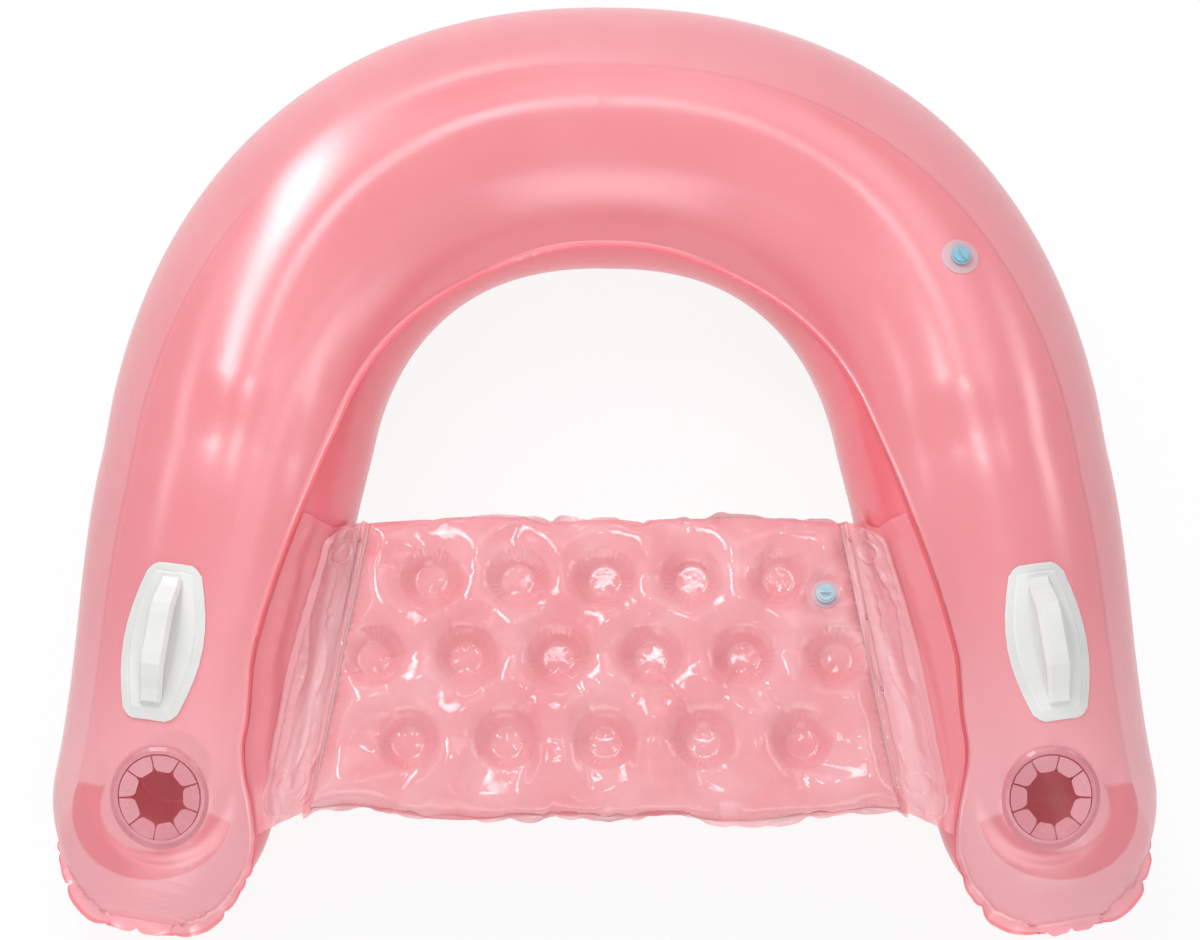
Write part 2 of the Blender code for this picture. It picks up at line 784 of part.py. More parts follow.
def petal_frame(cup, middle):
    """Axes of a petal: its hinge along X, Y towards the mouth's middle."""
    half = math.pi / PETALS
    lift = LAY_ON + PETAL_LIFT
    low, high = [cup.rim(middle + turn, -PETAL_GAP, lift) for turn in (-half, half)]
    hinge = (high - low) * cup.side
    hinge.normalize()
    origin = (low + high) / 2
    inward = cup.rim(middle, -CUP_HALF_WIDTH, lift) - origin
    inward = (inward - hinge * inward.dot(hinge)).normalized()
    normal = hinge.cross(inward)
    if normal.z < 0:
        hinge, normal = -hinge, -normal
    rows = Matrix((hinge, inward, normal)).transposed()
    tilt = Matrix.Rotation(-PETAL_DISH, 4, "X")
    return Matrix.Translation(origin) @ rows.to_4x4() @ tilt


def petal_outline(cup, middle, frame):
    """The petal seen from above: a curved root, slanting sides, a blunt point."""
    half = math.pi / PETALS
    back = frame.inverted()
    root = [back @ cup.rim(middle + turn, -PETAL_GAP, LAY_ON + PETAL_LIFT)
            for turn in between(-half, half, PETAL_ROOT_FACETS)]
    root.sort(key=lambda p: -p.x)
    width = root[0].x - PETAL_SLIT / 2
    outline = [(max(min(p.x, width), -width), p.y) for p in root]
    for share, narrow in PETAL_TIP_SHARES:
        y = share * PETAL_LENGTH
        x = (width - y * math.tan(half)) * narrow
        outline = [(x, y)] + outline + [(-x, y)]
    return outline


def make_petals(cup, word):
    """The flexible petals that grip a can, each hinged at the collar."""
    for i in range(PETALS):
        middle = 2 * math.pi * (i + 1 / 2) / PETALS
        frame = petal_frame(cup, middle)
        outline = petal_outline(cup, middle, frame)
        rings = [[Vector((x, y, z)) for x, y in outline] for z in (0, PETAL_THICKNESS)]
        name = f"cup_petal_{word}_{i + 1}"
        placed(name, loop_mesh(name, rings, closed=False), FINISH["cup_pink"], frame)


# Handles


def handle_half_width(along):
    """Half width of the barrel-shaped handle plate at a place along it."""
    share = abs(along) / (HANDLE_LENGTH / 2)
    bow = math.cos(share * math.pi / 2)
    return (HANDLE_END_WIDTH + (HANDLE_WIDTH - HANDLE_END_WIDTH) * bow) / 2


def handle_lines():
    """(place along, share of the inset) for each row of the plate."""
    end = HANDLE_LENGTH / 2
    inset = end - HANDLE_FLANGE
    inner = between(-inset, inset, HANDLE_ROWS)
    edge = HANDLE_FLANGE * HANDLE_BEVEL_SHARE
    return ([(-end, 0), (-inset - edge, 0)] + [(a, 1) for a in inner]
            + [(inset + edge, 0), (end, 0)])


def make_handle(side, word):
    """A moulded handle: a plate welded to the arm and the grip that arches over it."""
    station = 1 - HANDLE_FROM_TIP / ARM_RUN

    def on_arm(along, across, lift):
        return wrapped(side, station, HANDLE_ANGLE, along, across, lift + LAY_ON)

    top, bottom = [], []
    edge = HANDLE_FLANGE * HANDLE_BEVEL_SHARE
    for along, raised in handle_lines():
        corner = max(abs(along) - HANDLE_LENGTH / 2 + HANDLE_CORNER, 0) / HANDLE_CORNER
        half = handle_half_width(along) - HANDLE_CORNER * (1 - math.sqrt(1 - corner**2)
                                                          ) * HANDLE_ROUND_SHARE
        inset = half - HANDLE_FLANGE
        outs = [half, inset + edge] + between(inset, -inset, HANDLE_COLUMNS)
        outs += [-inset - edge, -half]
        rises = [0, 0] + [raised] * (HANDLE_COLUMNS + 1) + [0, 0]
        top.append([on_arm(along, b, HANDLE_PLATE + HANDLE_PAD_RISE * rise)
                    for b, rise in zip(outs, rises)])
        bottom.append([on_arm(along, b, 0) for b in outs])
    name = "handle_" + word
    plate = placed(name, slab_mesh(name, top, bottom), FINISH["white_vinyl"])
    rings = []
    for along in between(-GRIP_SPAN / 2, GRIP_SPAN / 2, GRIP_ROWS):
        to_foot = (GRIP_SPAN / 2 - abs(along)) / (GRIP_SPAN * GRIP_RAMP_SHARE)
        rise = eased(min(to_foot, 1)) * (GRIP_RISE - GRIP_THICKNESS)
        low = HANDLE_PLATE * GRIP_SINK_SHARE + rise
        rings.append([on_arm(along, GRIP_WIDTH / 2 * out, low + GRIP_THICKNESS * up)
                      for out, up in GRIP_SECTION_SHARES])
    grip = cutter(name + "_grip", loop_mesh(name + "_grip", rings, closed=False),
                  Matrix.Identity(4))
    join = plate.modifiers.new("grip", "BOOLEAN")
    join.operation = "UNION"
    join.solver = "EXACT"
    join.object = grip


# Valves


def make_valve(word, frame, laid, flange_radius):
    """One valve. laid(radius, turn, lift) is a point on the film round it."""
    hub_top = LAY_ON + VALVE_FLANGE + VALVE_HUB_RISE
    bore = STEM_RADIUS + CLEARANCE
    hub = [(bore, hub_top), (VALVE_HUB_RADIUS, hub_top)]
    skirt = [(VALVE_HUB_RADIUS, LAY_ON + VALVE_FLANGE),
             (flange_radius, LAY_ON + VALVE_FLANGE * VALVE_EDGE_SHARE),
             (flange_radius, LAY_ON), (VALVE_HUB_RADIUS, LAY_ON)]
    below = [(VALVE_HUB_RADIUS, -VALVE_HUB_DEPTH), (bore, -VALVE_HUB_DEPTH)]
    rings = []
    for i in range(VALVE_FACETS):
        turn = 2 * math.pi * i / VALVE_FACETS
        c, s = math.cos(turn), math.sin(turn)
        ring = [Vector((r * c, r * s, z)) for r, z in hub]
        ring += [laid(r, turn, lift) for r, lift in skirt]
        rings.append(ring + [Vector((r * c, r * s, z)) for r, z in below])
    name = word + "_valve_flange"
    placed(name, loop_mesh(name, rings, closed=True), FINISH["clear_vinyl"], frame)
    make_stem(word, frame, hub_top + CLEARANCE)
    make_plug(word, frame, hub_top + CLEARANCE + STEM_LIP + CLEARANCE)


def make_stem(word, frame, seat):
    """The stem that pushes in flush, and the flap that closes its lower end."""
    top, bottom = seat + STEM_LIP, seat + STEM_LIP - STEM_LENGTH
    profile = [(STEM_BORE, top), (STEM_LIP_RADIUS, top), (STEM_LIP_RADIUS, seat),
               (STEM_RADIUS, seat), (STEM_RADIUS, bottom), (STEM_BORE, bottom)]
    name = word + "_valve_stem"
    placed(name, turned_mesh(name, profile), FINISH["blue_vinyl"], frame)
    radius = STEM_RADIUS - FLAP_MARGIN
    hinge = Matrix.Translation((-radius, 0, bottom - CLEARANCE))
    flap = oval_mesh(word + "_valve_flap", radius, radius, -FLAP_THICKNESS, 0,
                     VALVE_FACETS)
    flap.transform(Matrix.Translation((radius, 0, 0)))
    placed(word + "_valve_flap", flap, FINISH["blue_vinyl"], frame @ hinge)


def make_plug(word, frame, seat):
    """The plug that closes the stem, with a tab to pull it by."""
    top = seat + PLUG_CAP
    profile = [(PLUG_CAP_RADIUS, top), (PLUG_CAP_RADIUS, seat), (PLUG_RADIUS, seat),
               (PLUG_RADIUS, seat - PLUG_LENGTH)]
    name = word + "_valve_plug"
    levels = [[Vector((r * math.cos(t), r * math.sin(t), z)) for t in
               [2 * math.pi * i / VALVE_FACETS for i in range(VALVE_FACETS)]]
              for r, z in profile[::-1]]
    plug = placed(name, loop_mesh(name, levels, closed=False), FINISH["blue_vinyl"],
                  frame)
    low, high = top - PLUG_CAP / 2, top + TAB_HEIGHT
    half, thin = TAB_LENGTH / 2, TAB_THICKNESS / 2
    rings = [[Vector((x * width, y * thin, z)) for x, y in
              ((-1, -1), (1, -1), (1, 1), (-1, 1))]
             for z, width in ((low, half), (high, half * TAB_TAPER_SHARE))]
    tab = cutter(name + "_tab", loop_mesh(name + "_tab", rings, closed=False), frame)
    join = plug.modifiers.new("tab", "BOOLEAN")
    join.operation = "UNION"
    join.solver = "EXACT"
    join.object = tab


def make_ring_valve(sheet):
    frame = skin_frame(1, RING_VALVE_SHARE, RING_VALVE_ANGLE)
    back = frame.inverted()

    def laid(radius, turn, lift):
        along, across = radius * math.cos(turn), -radius * math.sin(turn)
        return back @ wrapped(1, RING_VALVE_SHARE, RING_VALVE_ANGLE, along, across, lift)

    make_valve("ring", frame, laid, VALVE_FLANGE_RADIUS)
    cut_valve_hole("ring", frame, sheet)


def cut_valve_hole(word, frame, sheet):
    radius = VALVE_HUB_RADIUS + HOLE_MARGIN
    mesh = oval_mesh(word + "_valve_hole", radius, radius, -VALVE_CUT, VALVE_CUT,
                     VALVE_FACETS)
    cut(sheet, cutter(word + "_valve_hole", mesh, frame))


def make_seat_valve(sheet):
    base = SEAT_HEIGHT + WELD_GAP / 2 + FILM + SEAT_VALVE_RISE
    frame = Matrix.Translation((SEAT_VALVE.x, SEAT_VALVE.y, base))

    def laid(radius, turn, lift):
        return Vector((radius * math.cos(turn), radius * math.sin(turn), lift))

    make_valve("seat", frame, laid, SEAT_VALVE_FLANGE_RADIUS)
    cut_valve_hole("seat", frame, sheet)


def build():
    upper = make_tube()
    seat_top = make_seat()
    for side, word in ((1, "right"), (-1, "left")):
        make_strip(side, word)
        make_handle(side, word)
        cup = Cup(side)
        make_collar(cup, word)
        make_pocket(cup, word)
        make_petals(cup, word)
        cut_cup_hole(cup, word, upper)
    make_ring_valve(upper)
    make_seat_valve(seat_top)


clear_scene()
PARTS = collection("inflatable_pool_chair")
CUTTERS = collection("cutters")
FINISH = {
    "film_pink": material("film_pink", PINK, 0.12, 0.75),
    "film_pink_deep": material("film_pink_deep", PINK_DEEP, 0.14, 0.8),
    "film_pink_pale": material("film_pink_pale", PINK_PALE, 0.12, 0.6),
    "cup_pink": material("cup_pink", PINK_DEEP, 0.3),
    "white_vinyl": material("white_vinyl", WHITE, 0.35),
    "clear_vinyl": material("clear_vinyl", CLEAR, 0.1, 0.6),
    "blue_vinyl": material("blue_vinyl", BLUE, 0.2, 0.8),
}
build()
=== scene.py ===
import math

import bmesh
import bpy
from mathutils import Matrix, Vector, noise
from mathutils.geometry import delaunay_2d_cdt


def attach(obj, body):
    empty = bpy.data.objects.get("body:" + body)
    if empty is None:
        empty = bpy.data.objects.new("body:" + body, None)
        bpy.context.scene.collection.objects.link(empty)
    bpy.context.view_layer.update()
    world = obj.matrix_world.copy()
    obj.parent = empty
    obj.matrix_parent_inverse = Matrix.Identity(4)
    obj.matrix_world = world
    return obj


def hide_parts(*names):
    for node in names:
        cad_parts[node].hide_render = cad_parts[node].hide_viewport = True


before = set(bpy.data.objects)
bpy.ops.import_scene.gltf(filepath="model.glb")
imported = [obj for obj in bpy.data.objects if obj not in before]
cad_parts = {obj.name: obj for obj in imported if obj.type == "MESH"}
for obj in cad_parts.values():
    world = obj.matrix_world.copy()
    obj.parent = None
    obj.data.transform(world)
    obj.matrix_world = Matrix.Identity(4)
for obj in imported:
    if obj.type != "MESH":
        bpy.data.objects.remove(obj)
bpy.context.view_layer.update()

# The chair's driving sizes in metres, the same as the frame's
FILM, WELD_GAP, SEAM_LIP, LAY_ON = 0.0004, 0.0005, 0.005, 0.0006
ARCH_HALF_WIDTH, ARCH_RISE, ARCH_FULLNESS = 0.380, 0.444, 2.28
ARM_SPLAY, ARM_RUN = math.radians(10), 0.520
FLOOR_FLAT_DEPTH = 0.0005
TIP_WIDTH_RUN, TIP_HEIGHT_RUN, TIP_SQUARENESS = 0.105, 0.220, 2.4
TIP_CLOSE_SHARE, TIP_DROOP_SHARE = 0.97, 0.12
RADIUS_KEYS = ((-1, 0.138), (-0.5, 0.139), (0, 0.1365), (0.15, 0.134), (0.76, 0.111), (1, 0.092))
SEAM_KEYS = ((-1, 13), (-0.7, 10), (0.5, 54), (0.66, 48), (1, 0))
OUTER_SEAM_KEYS = ((-1, 210), (0.76, 210), (1, 180))
SEAT_HEIGHT, SEAT_DEPTH, SEAT_REAR_FROM_CROWN = 0.150, 0.303, 0.436
SEAT_REAR_HALF, SEAT_FRONT_HALF, SEAT_FLANGE = 0.238, 0.290, 0.009
DOT_RADIUS, DOT_PITCH_SHARE = 0.0175, 0.176
DOT_ROWS = ((0.205, 5), (0.475, 6), (0.765, 5))
SEAT_VALVE_RISE, VALVE_HOLE = 0.010, 0.0104
WEB_LAP, WEB_LIFT, WEB_MARGIN, CLEARANCE = 0.007, 0.0014, math.radians(2.5), 0.0003
STRIP_REAR_WIDTH, STRIP_FRONT_WIDTH, STRIP_LIFT, STRIP_SHOWN = 0.078, 0.054, 0.0020, 0.93
CUP_FROM_TIP, CUP_ANGLE, CUP_HOLE = 0.100, math.radians(85), (0.0469, 0.0428)
RING_VALVE_STATION, RING_VALVE_ANGLE = -0.208, math.radians(99.5)
HANDLE_FROM_TIP, HANDLE_ANGLE, HANDLE_LENGTH = 0.243, math.radians(97), 0.154
HANDLE_WIDTH, HANDLE_END_WIDTH, HANDLE_FLANGE = 0.081, 0.050, 0.010
HANDLE_PLATE, HANDLE_CORNER, HANDLE_ROUND = 0.0016, 0.012, 0.7
STEP = 0.001


def eased(t):
    return t * t * (3 - 2 * t)


def clamp(x, low=0.0, high=1.0):
    return min(max(x, low), high)


def keyed(keys, station):
    for (a, first), (b, last) in zip(keys, keys[1:]):
        if station <= b:
            return first + (last - first) * eased(clamp((station - a) / (b - a)))
    return keys[-1][1]


def spring_angle():
    power = 2 - 2 / ARCH_FULLNESS
    return math.atan((math.tan(ARM_SPLAY) * ARCH_RISE / ARCH_HALF_WIDTH) ** (1 / power))


def plan(station):
    """Centreline of the tube: -1 crown of the arch, 0 start of the arm, 1 its tip."""
    share, start = 2 / ARCH_FULLNESS, spring_angle()
    angle = start + (math.pi / 2 - start) * max(-station, 0)
    c, s = max(math.cos(angle), 0), math.sin(angle)
    point = Vector((ARCH_HALF_WIDTH * c**share, ARCH_RISE * s**share))
    along = Vector((ARCH_HALF_WIDTH * s ** (2 - share), -ARCH_RISE * c ** (2 - share)))
    along.normalize()
    return point + along * ARM_RUN * max(station, 0), along


def section(station):
    radius = keyed(RADIUS_KEYS, station)
    to_tip = (1 - station) * ARM_RUN
    close = max(1 - to_tip / TIP_WIDTH_RUN, 0) * TIP_CLOSE_SHARE
    fall = clamp(1 - to_tip / TIP_HEIGHT_RUN)
    width = (1 - close**TIP_SQUARENESS) ** (1 / TIP_SQUARENESS)
    height = math.sqrt(max(1 - fall * fall, 0))
    centre = (radius - FLOOR_FLAT_DEPTH) * (1 - TIP_DROOP_SHARE * fall * fall)
    return radius * width, radius * height, centre


def local_skin(station, angle, lift):
    point, along = plan(station)
    inward = Vector((along.y, -along.x))
    half_width, half_height, centre = section(station)
    flat = point + inward * math.cos(angle) * (half_width + lift)
    return Vector((flat.x, flat.y, centre + math.sin(angle) * (half_height + lift)))


def centring():
    back = local_skin(-1, math.pi, 0).y
    lip = SEAM_LIP * plan(1)[1].y
    return -(back + min(local_skin(1, a, SEAM_LIP).y for a in (0, math.pi)) + lip) / 2


CENTRE_Y = centring()
SEAT_REAR_Y = CENTRE_Y + ARCH_RISE - SEAT_REAR_FROM_CROWN


def skin(side, station, angle, lift=0.0):
    p = local_skin(station, angle, lift)
    return Vector((side * p.x, p.y + CENTRE_Y, p.z))


def skin_frame(side, station, angle):
    origin = skin(side, station, angle)
    along = skin(side, station + STEP, angle) - origin
    across = skin(side, station, angle - STEP) - origin
    normal = along.cross(across).normalized() * -side
    along.normalize()
    rows = Matrix((along, normal.cross(along), normal)).transposed()
    return Matrix.Translation(origin) @ rows.to_4x4()


def wrapped(side, station, angle, along, across, lift):
    ahead = skin(side, station + STEP, angle) - skin(side, station - STEP, angle)
    there = station + along * 2 * STEP / ahead.length
    return skin(side, there, angle - across / keyed(RADIUS_KEYS, there), lift)


def wobble(x, y=0.0, z=0.0):
    """Smooth noise from -1 to 1. Callers scale a place by a frequency and add a seed."""
    return noise.noise(Vector((x, y, z)))


# Materials


FILM_IOR, GLOSS_RANGE, TINT_RANGE = 1.53, (0.6, 1.6), (0.3, 0.7)
SHEEN_ROUGHNESS, SHEEN_TINT = 0.4, (1, 0.85, 0.89, 1)
# In plan: the middle of the crescent of painted shade below a cup, its edges, and the line it ends at
POCKET_MIDDLE, POCKET_STRETCH = (0.445, -0.388), 1.28
CRESCENT_INNER, CRESCENT_OUTER = (0.046, 0.052), (0.078, 0.081)
CRESCENT_SLOPE, CRESCENT_END, CRESCENT_SHARE = -0.25, (-0.494, -0.488), 0.9
# Painted light on the tips: where in y the tint turns paler and how far, then that paler tint and the
# deeper tint of the painted shade below the cups
PAINTED_TIP_LIGHT_RUN, PAINTED_TIP_LIGHT_SHARE = (-0.42, -0.12), 0.85
PAINTED_TIP_LIGHT_TINT, PAINTED_CRESCENT_SHADE_TINT = (0.97, 0.50, 0.55, 1), (0.84, 0.22, 0.27, 1)


def shader_of(mat):
    return next(n for n in mat.node_tree.nodes if n.type == "BSDF_PRINCIPLED")


def film(mat, colour, deep, alpha, rough, scale=6.0, bump=0.35, fine=190.0, depth=0.0003,
         sheen=0.04, shine=0.5):
    """Glossy tinted film: mottled tint, uneven gloss and a fine ripple."""
    mat.use_nodes = True
    nodes, links = mat.node_tree.nodes, mat.node_tree.links
    shader = shader_of(mat)
    coord = nodes.new("ShaderNodeTexCoord")
    cloud = nodes.new("ShaderNodeTexNoise")
    cloud.inputs["Scale"].default_value = scale
    cloud.inputs["Detail"].default_value = 5
    links.new(coord.outputs["Object"], cloud.inputs["Vector"])
    ramp = nodes.new("ShaderNodeValToRGB")
    for element, position, tint in zip(ramp.color_ramp.elements, TINT_RANGE, (deep, colour)):
        element.position = position
        element.color = (*tint, 1)
    links.new(cloud.outputs["Fac"], ramp.inputs["Fac"])
    links.new(ramp.outputs["Color"], shader.inputs["Base Color"])
    gloss = nodes.new("ShaderNodeMapRange")
    gloss.inputs["To Min"].default_value = rough * GLOSS_RANGE[0]
    gloss.inputs["To Max"].default_value = rough * GLOSS_RANGE[1]
    links.new(cloud.outputs["Fac"], gloss.inputs["Value"])
    links.new(gloss.outputs["Result"], shader.inputs["Roughness"])
    ripple = nodes.new("ShaderNodeTexNoise")
    ripple.inputs["Scale"].default_value = fine
    ripple.inputs["Detail"].default_value = 2
    links.new(coord.outputs["Object"], ripple.inputs["Vector"])
    relief = nodes.new("ShaderNodeBump")
    relief.inputs["Strength"].default_value = bump
    relief.inputs["Distance"].default_value = depth
    links.new(ripple.outputs["Fac"], relief.inputs["Height"])
    links.new(relief.outputs["Normal"], shader.inputs["Normal"])
    shader.inputs["Alpha"].default_value = alpha
    shader.inputs["IOR"].default_value = FILM_IOR
    shader.inputs["Specular IOR Level"].default_value = shine
    shader.inputs["Sheen Weight"].default_value = sheen
    shader.inputs["Sheen Roughness"].default_value = SHEEN_ROUGHNESS
    shader.inputs["Sheen Tint"].default_value = SHEEN_TINT
    return mat


def moulded(mat, colour, dark, rough, grain, depth, alpha=1.0, scale=18.0):
    """Moulded vinyl: faint shade changes, uneven gloss and a fine grain."""
    return film(mat, colour, dark, alpha, rough, scale, 1.0, grain, depth, 0.08)


def painted_tip_light_and_cup_shade(mat):
    """Painted light and shade: a paler tint towards the tips stands in for light falling on them, and a
    deeper tint in a crescent below each cup stands in for shade where the film is drawn in round the
    pocket.
    """
    nodes, links = mat.node_tree.nodes, mat.node_tree.links
    shader = shader_of(mat)
    tint = shader.inputs["Base Color"].links[0].from_socket
    coord = nodes.new("ShaderNodeTexCoord")
    mirrored = nodes.new("ShaderNodeVectorMath")
    mirrored.operation = "ABSOLUTE"
    links.new(coord.outputs["Object"], mirrored.inputs[0])
    parts, mirror = nodes.new("ShaderNodeSeparateXYZ"), nodes.new("ShaderNodeSeparateXYZ")
    links.new(coord.outputs["Object"], parts.inputs[0])
    links.new(mirrored.outputs["Vector"], mirror.inputs[0])
    flat = nodes.new("ShaderNodeCombineXYZ")
    links.new(mirror.outputs["X"], flat.inputs["X"])
    links.new(parts.outputs["Y"], flat.inputs["Y"])
    far = nodes.new("ShaderNodeVectorMath")
    far.operation = "DISTANCE"
    far.inputs[1].default_value = (POCKET_MIDDLE[0], POCKET_MIDDLE[1] * POCKET_STRETCH, 0)
    stretched = nodes.new("ShaderNodeVectorMath")
    stretched.operation = "MULTIPLY"
    stretched.inputs[1].default_value = (1, POCKET_STRETCH, 1)
    links.new(flat.outputs["Vector"], stretched.inputs[0])
    links.new(stretched.outputs["Vector"], far.inputs[0])

    def band(socket, low, high, first, last):
        node = nodes.new("ShaderNodeMapRange")
        node.interpolation_type = "SMOOTHSTEP"
        for name, value in zip(("From Min", "From Max", "To Min", "To Max"), (low, high, first, last)):
            node.inputs[name].default_value = value
        links.new(socket, node.inputs["Value"])
        return node.outputs["Result"]

    def times(a, b):
        node = nodes.new("ShaderNodeMath")
        node.operation = "MULTIPLY"
        links.new(a, node.inputs[0])
        links.new(b, node.inputs[1])
        return node.outputs["Value"]

    # The crescent of painted shade: a band round the cup, kept to its lower side
    ring = times(band(far.outputs["Value"], *CRESCENT_INNER, 0, 1),
                 band(far.outputs["Value"], *CRESCENT_OUTER, 1, 0))
    tilt = nodes.new("ShaderNodeMath")
    tilt.operation = "MULTIPLY_ADD"
    tilt.inputs[1].default_value = CRESCENT_SLOPE
    links.new(mirror.outputs["X"], tilt.inputs[0])
    links.new(parts.outputs["Y"], tilt.inputs[2])
    lower = band(tilt.outputs["Value"], *CRESCENT_END, CRESCENT_SHARE, 0)
    painted_tip_light = band(parts.outputs["Y"], *PAINTED_TIP_LIGHT_RUN, PAINTED_TIP_LIGHT_SHARE, 0)
    # Mix in the painted light on the tips, then the painted shade below the cups
    for share, colour in ((painted_tip_light, PAINTED_TIP_LIGHT_TINT), (times(ring, lower), PAINTED_CRESCENT_SHADE_TINT)):
        mix = nodes.new("ShaderNodeMix")
        mix.data_type = "RGBA"
        links.new(share, mix.inputs["Factor"])
        links.new(tint, mix.inputs[6])
        mix.inputs[7].default_value = colour
        tint = mix.outputs[2]
    links.new(tint, shader.inputs["Base Color"])
    return mat


TUBE, TUBE_DEEP = (0.84, 0.305, 0.35), (0.81, 0.255, 0.30)
LOOKS = {
    # The upper film: mottled pink, with painted light on the tips and painted shade below the cups
    "film_pink": lambda m: painted_tip_light_and_cup_shade(film(m, TUBE, TUBE_DEEP, 0.72, 0.20, shine=0.95)),
    # The lower film's deeper, more saturated pink than the upper film's is painted shade for the tube's
    # underside and inner face
    "film_pink_deep": lambda m: film(m, (0.91, 0.22, 0.26), (0.88, 0.185, 0.225), 0.92, 0.20, shine=0.8),
    "film_pink_pale": lambda m: film(m, (0.97, 0.36, 0.41), (0.94, 0.28, 0.33), 0.72, 0.06),
    "cup_pink": lambda m: moulded(m, (0.72, 0.27, 0.31), (0.64, 0.21, 0.25), 0.24, 900, 0.00006),
    "white_vinyl": lambda m: moulded(m, (0.83, 0.83, 0.82), (0.77, 0.77, 0.76), 0.38, 1100, 0.00012),
    "clear_vinyl": lambda m: moulded(m, (0.84, 0.66, 0.72), (0.78, 0.60, 0.66), 0.08, 500, 0.00003, 0.5),
    "blue_vinyl": lambda m: moulded(m, (0.36, 0.64, 0.76), (0.28, 0.56, 0.70), 0.14, 700, 0.00004, 0.85),
}
EXTRA = {
    "film_strip": lambda m: film(m, (0.99, 0.61, 0.65), (0.97, 0.50, 0.54), 0.52, 0.035),
    "film_seat": lambda m: film(m, (0.96, 0.43, 0.47), (0.91, 0.27, 0.31), 0.68, 0.04, 13),
    "cup_pocket": lambda m: film(m, (0.94, 0.42, 0.47), (0.90, 0.35, 0.40), 0.62, 0.16),
    "blue_vinyl_under_film": lambda m: moulded(m, (0.62, 0.84, 0.92), (0.56, 0.78, 0.88), 0.12, 700,
                                               0.00004, 0.6),
    "white_vinyl_knurled": lambda m: moulded(m, (0.80, 0.80, 0.79), (0.73, 0.73, 0.72), 0.5, 1500, 0.0002),
}
MATERIALS = {}
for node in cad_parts.values():
    for holder in node.material_slots:
        key = holder.material.name.split(".")[0]
        if key in LOOKS and holder.material.name not in MATERIALS:
            MATERIALS[holder.material.name] = LOOKS[key](holder.material)


def finish_of(key):
    if key not in MATERIALS:
        MATERIALS[key] = {**LOOKS, **EXTRA}[key](bpy.data.materials.new(key))
    return MATERIALS[key]


for word in ("left", "right"):
    for part in ("cup_pocket_", "cup_floor_"):
        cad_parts[part + word].material_slots[0].material = finish_of("cup_pocket")
for part in ("stem", "plug"):
    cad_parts["seat_valve_" + part].material_slots[0].material = finish_of("blue_vinyl_under_film")


def made(name, mesh, slot, look=None, body="chair"):
    obj = bpy.data.objects.new(name, mesh)
    bpy.context.scene.collection.objects.link(obj)
    mesh.materials.append(finish_of(look or slot))
    mesh.shade_smooth()
    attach(obj, body)
    return obj


def grid_mesh(name, rows, ring=False):
    bm = bmesh.new()
    verts = [[bm.verts.new(p) for p in row] for row in rows]
    pairs = list(zip(verts, verts[1:])) + ([(verts[-1], verts[0])] if ring else [])
    for a, b in pairs:
        for i in range(len(a) - 1):
            bm.faces.new((a[i], a[i + 1], b[i + 1], b[i]))
    bmesh.ops.recalc_face_normals(bm, faces=bm.faces)
    mesh = bpy.data.meshes.new(name)
    bm.to_mesh(mesh)
    bm.free()
    return mesh


HOLE_DEPTH, OUT_OF_REACH = 0.04, 9


def opened(mesh, matrix, half_x, half_y):
    """Takes an oval out of a film and draws the edge that is left onto the oval."""
    back = matrix.inverted()
    bm = bmesh.new()
    bm.from_mesh(mesh)

    def reach(p):
        q = back @ p
        return math.hypot(q.x / half_x, q.y / half_y) if abs(q.z) < HOLE_DEPTH else OUT_OF_REACH

    inside = [f for f in bm.faces if reach(f.calc_center_median()) < 1]
    edge = {v for f in inside for v in f.verts}
    bmesh.ops.delete(bm, geom=inside, context="FACES")
    for v in edge:
        if v.is_valid:
            q = back @ v.co
            size = reach(v.co)
            v.co = matrix @ Vector((q.x / size, q.y / size, q.z))
    bm.to_mesh(mesh)
    bm.free()


# The ring's two films

TIP_ROWS, ARM_ROWS, ARCH_ROWS, UPPER_COLUMNS, LOWER_COLUMNS = 90, 90, 180, 64, 68
# Folds beside a weld: an even part and what the tips add to it
FOLD_TIP_RUN, FOLD_LENGTH, FOLD_FINE_LENGTH = 0.10, (0.019, 0.012), 0.0105
FOLD_REACH, FOLD_REACH_VARIED, FOLD_HEIGHT = (0.010, 0.028), 0.020, (0.00035, 0.0020)
FOLD_OUTER_SHARE, FOLD_MIDDLE, FOLD_SPREAD = 0.35, -0.45, 0.75
TROUGH_DEPTH, TROUGH_STATION, TROUGH_BELOW, TROUGH_RADIUS = 0.0034, 0.55, -0.08, 0.10
TROUGH_INNER, TROUGH_INNER_RAMP, TROUGH_OUTER, TROUGH_OUTER_RAMP = 0.052, 0.010, 0.078, 0.012
TROUGH_TURN = 0.35
UNEVENNESS, WEB_STATIONS, WEB_ANGLE, WEB_SINK = 0.0007, (-0.05, 0.72), -0.6, -0.0002
# The weld's free lips, and the hem that closes each tip
NOTCH_PITCH, LIP_TIP_RUN, LIP_CORNER, LIP_CORNER_RUN = 0.029, 0.12, 0.016, 0.018
LIP_WAVE, LIP_WAVE_LENGTH, LIP_FINE_LENGTH, UPPER_LIP_SHARE = (0.0002, 0.0030), 0.034, 0.013, 0.75
HEM_GAP, HEM_CORNER, HEM_WAVE, HEM_WAVE_LENGTH = 0.0035, 0.016, 0.0011, 0.041
LEAST_HEIGHT = 0.0002


def tube_rows():
    """(side, station, run) of each row, run being the length along the centreline."""
    near = [1 - TIP_HEIGHT_RUN / ARM_RUN * (1 - math.cos(math.pi / 2 * i / TIP_ROWS))
            for i in range(TIP_ROWS + 1)]
    arm = [near[-1] * (1 - i / ARM_ROWS) for i in range(1, ARM_ROWS + 1)]
    half = near + arm + [-i / ARCH_ROWS for i in range(1, ARCH_ROWS + 1)]
    rows = [(1, s) for s in half] + [(-1, s) for s in reversed(half[:-1])]
    run, out, last = 0.0, [], None
    for side, station in rows:
        p = plan(station)[0]
        p = Vector((side * p.x, p.y))
        run += (p - last).length if last is not None else 0
        last = p
        out.append((side, station, run))
    return out


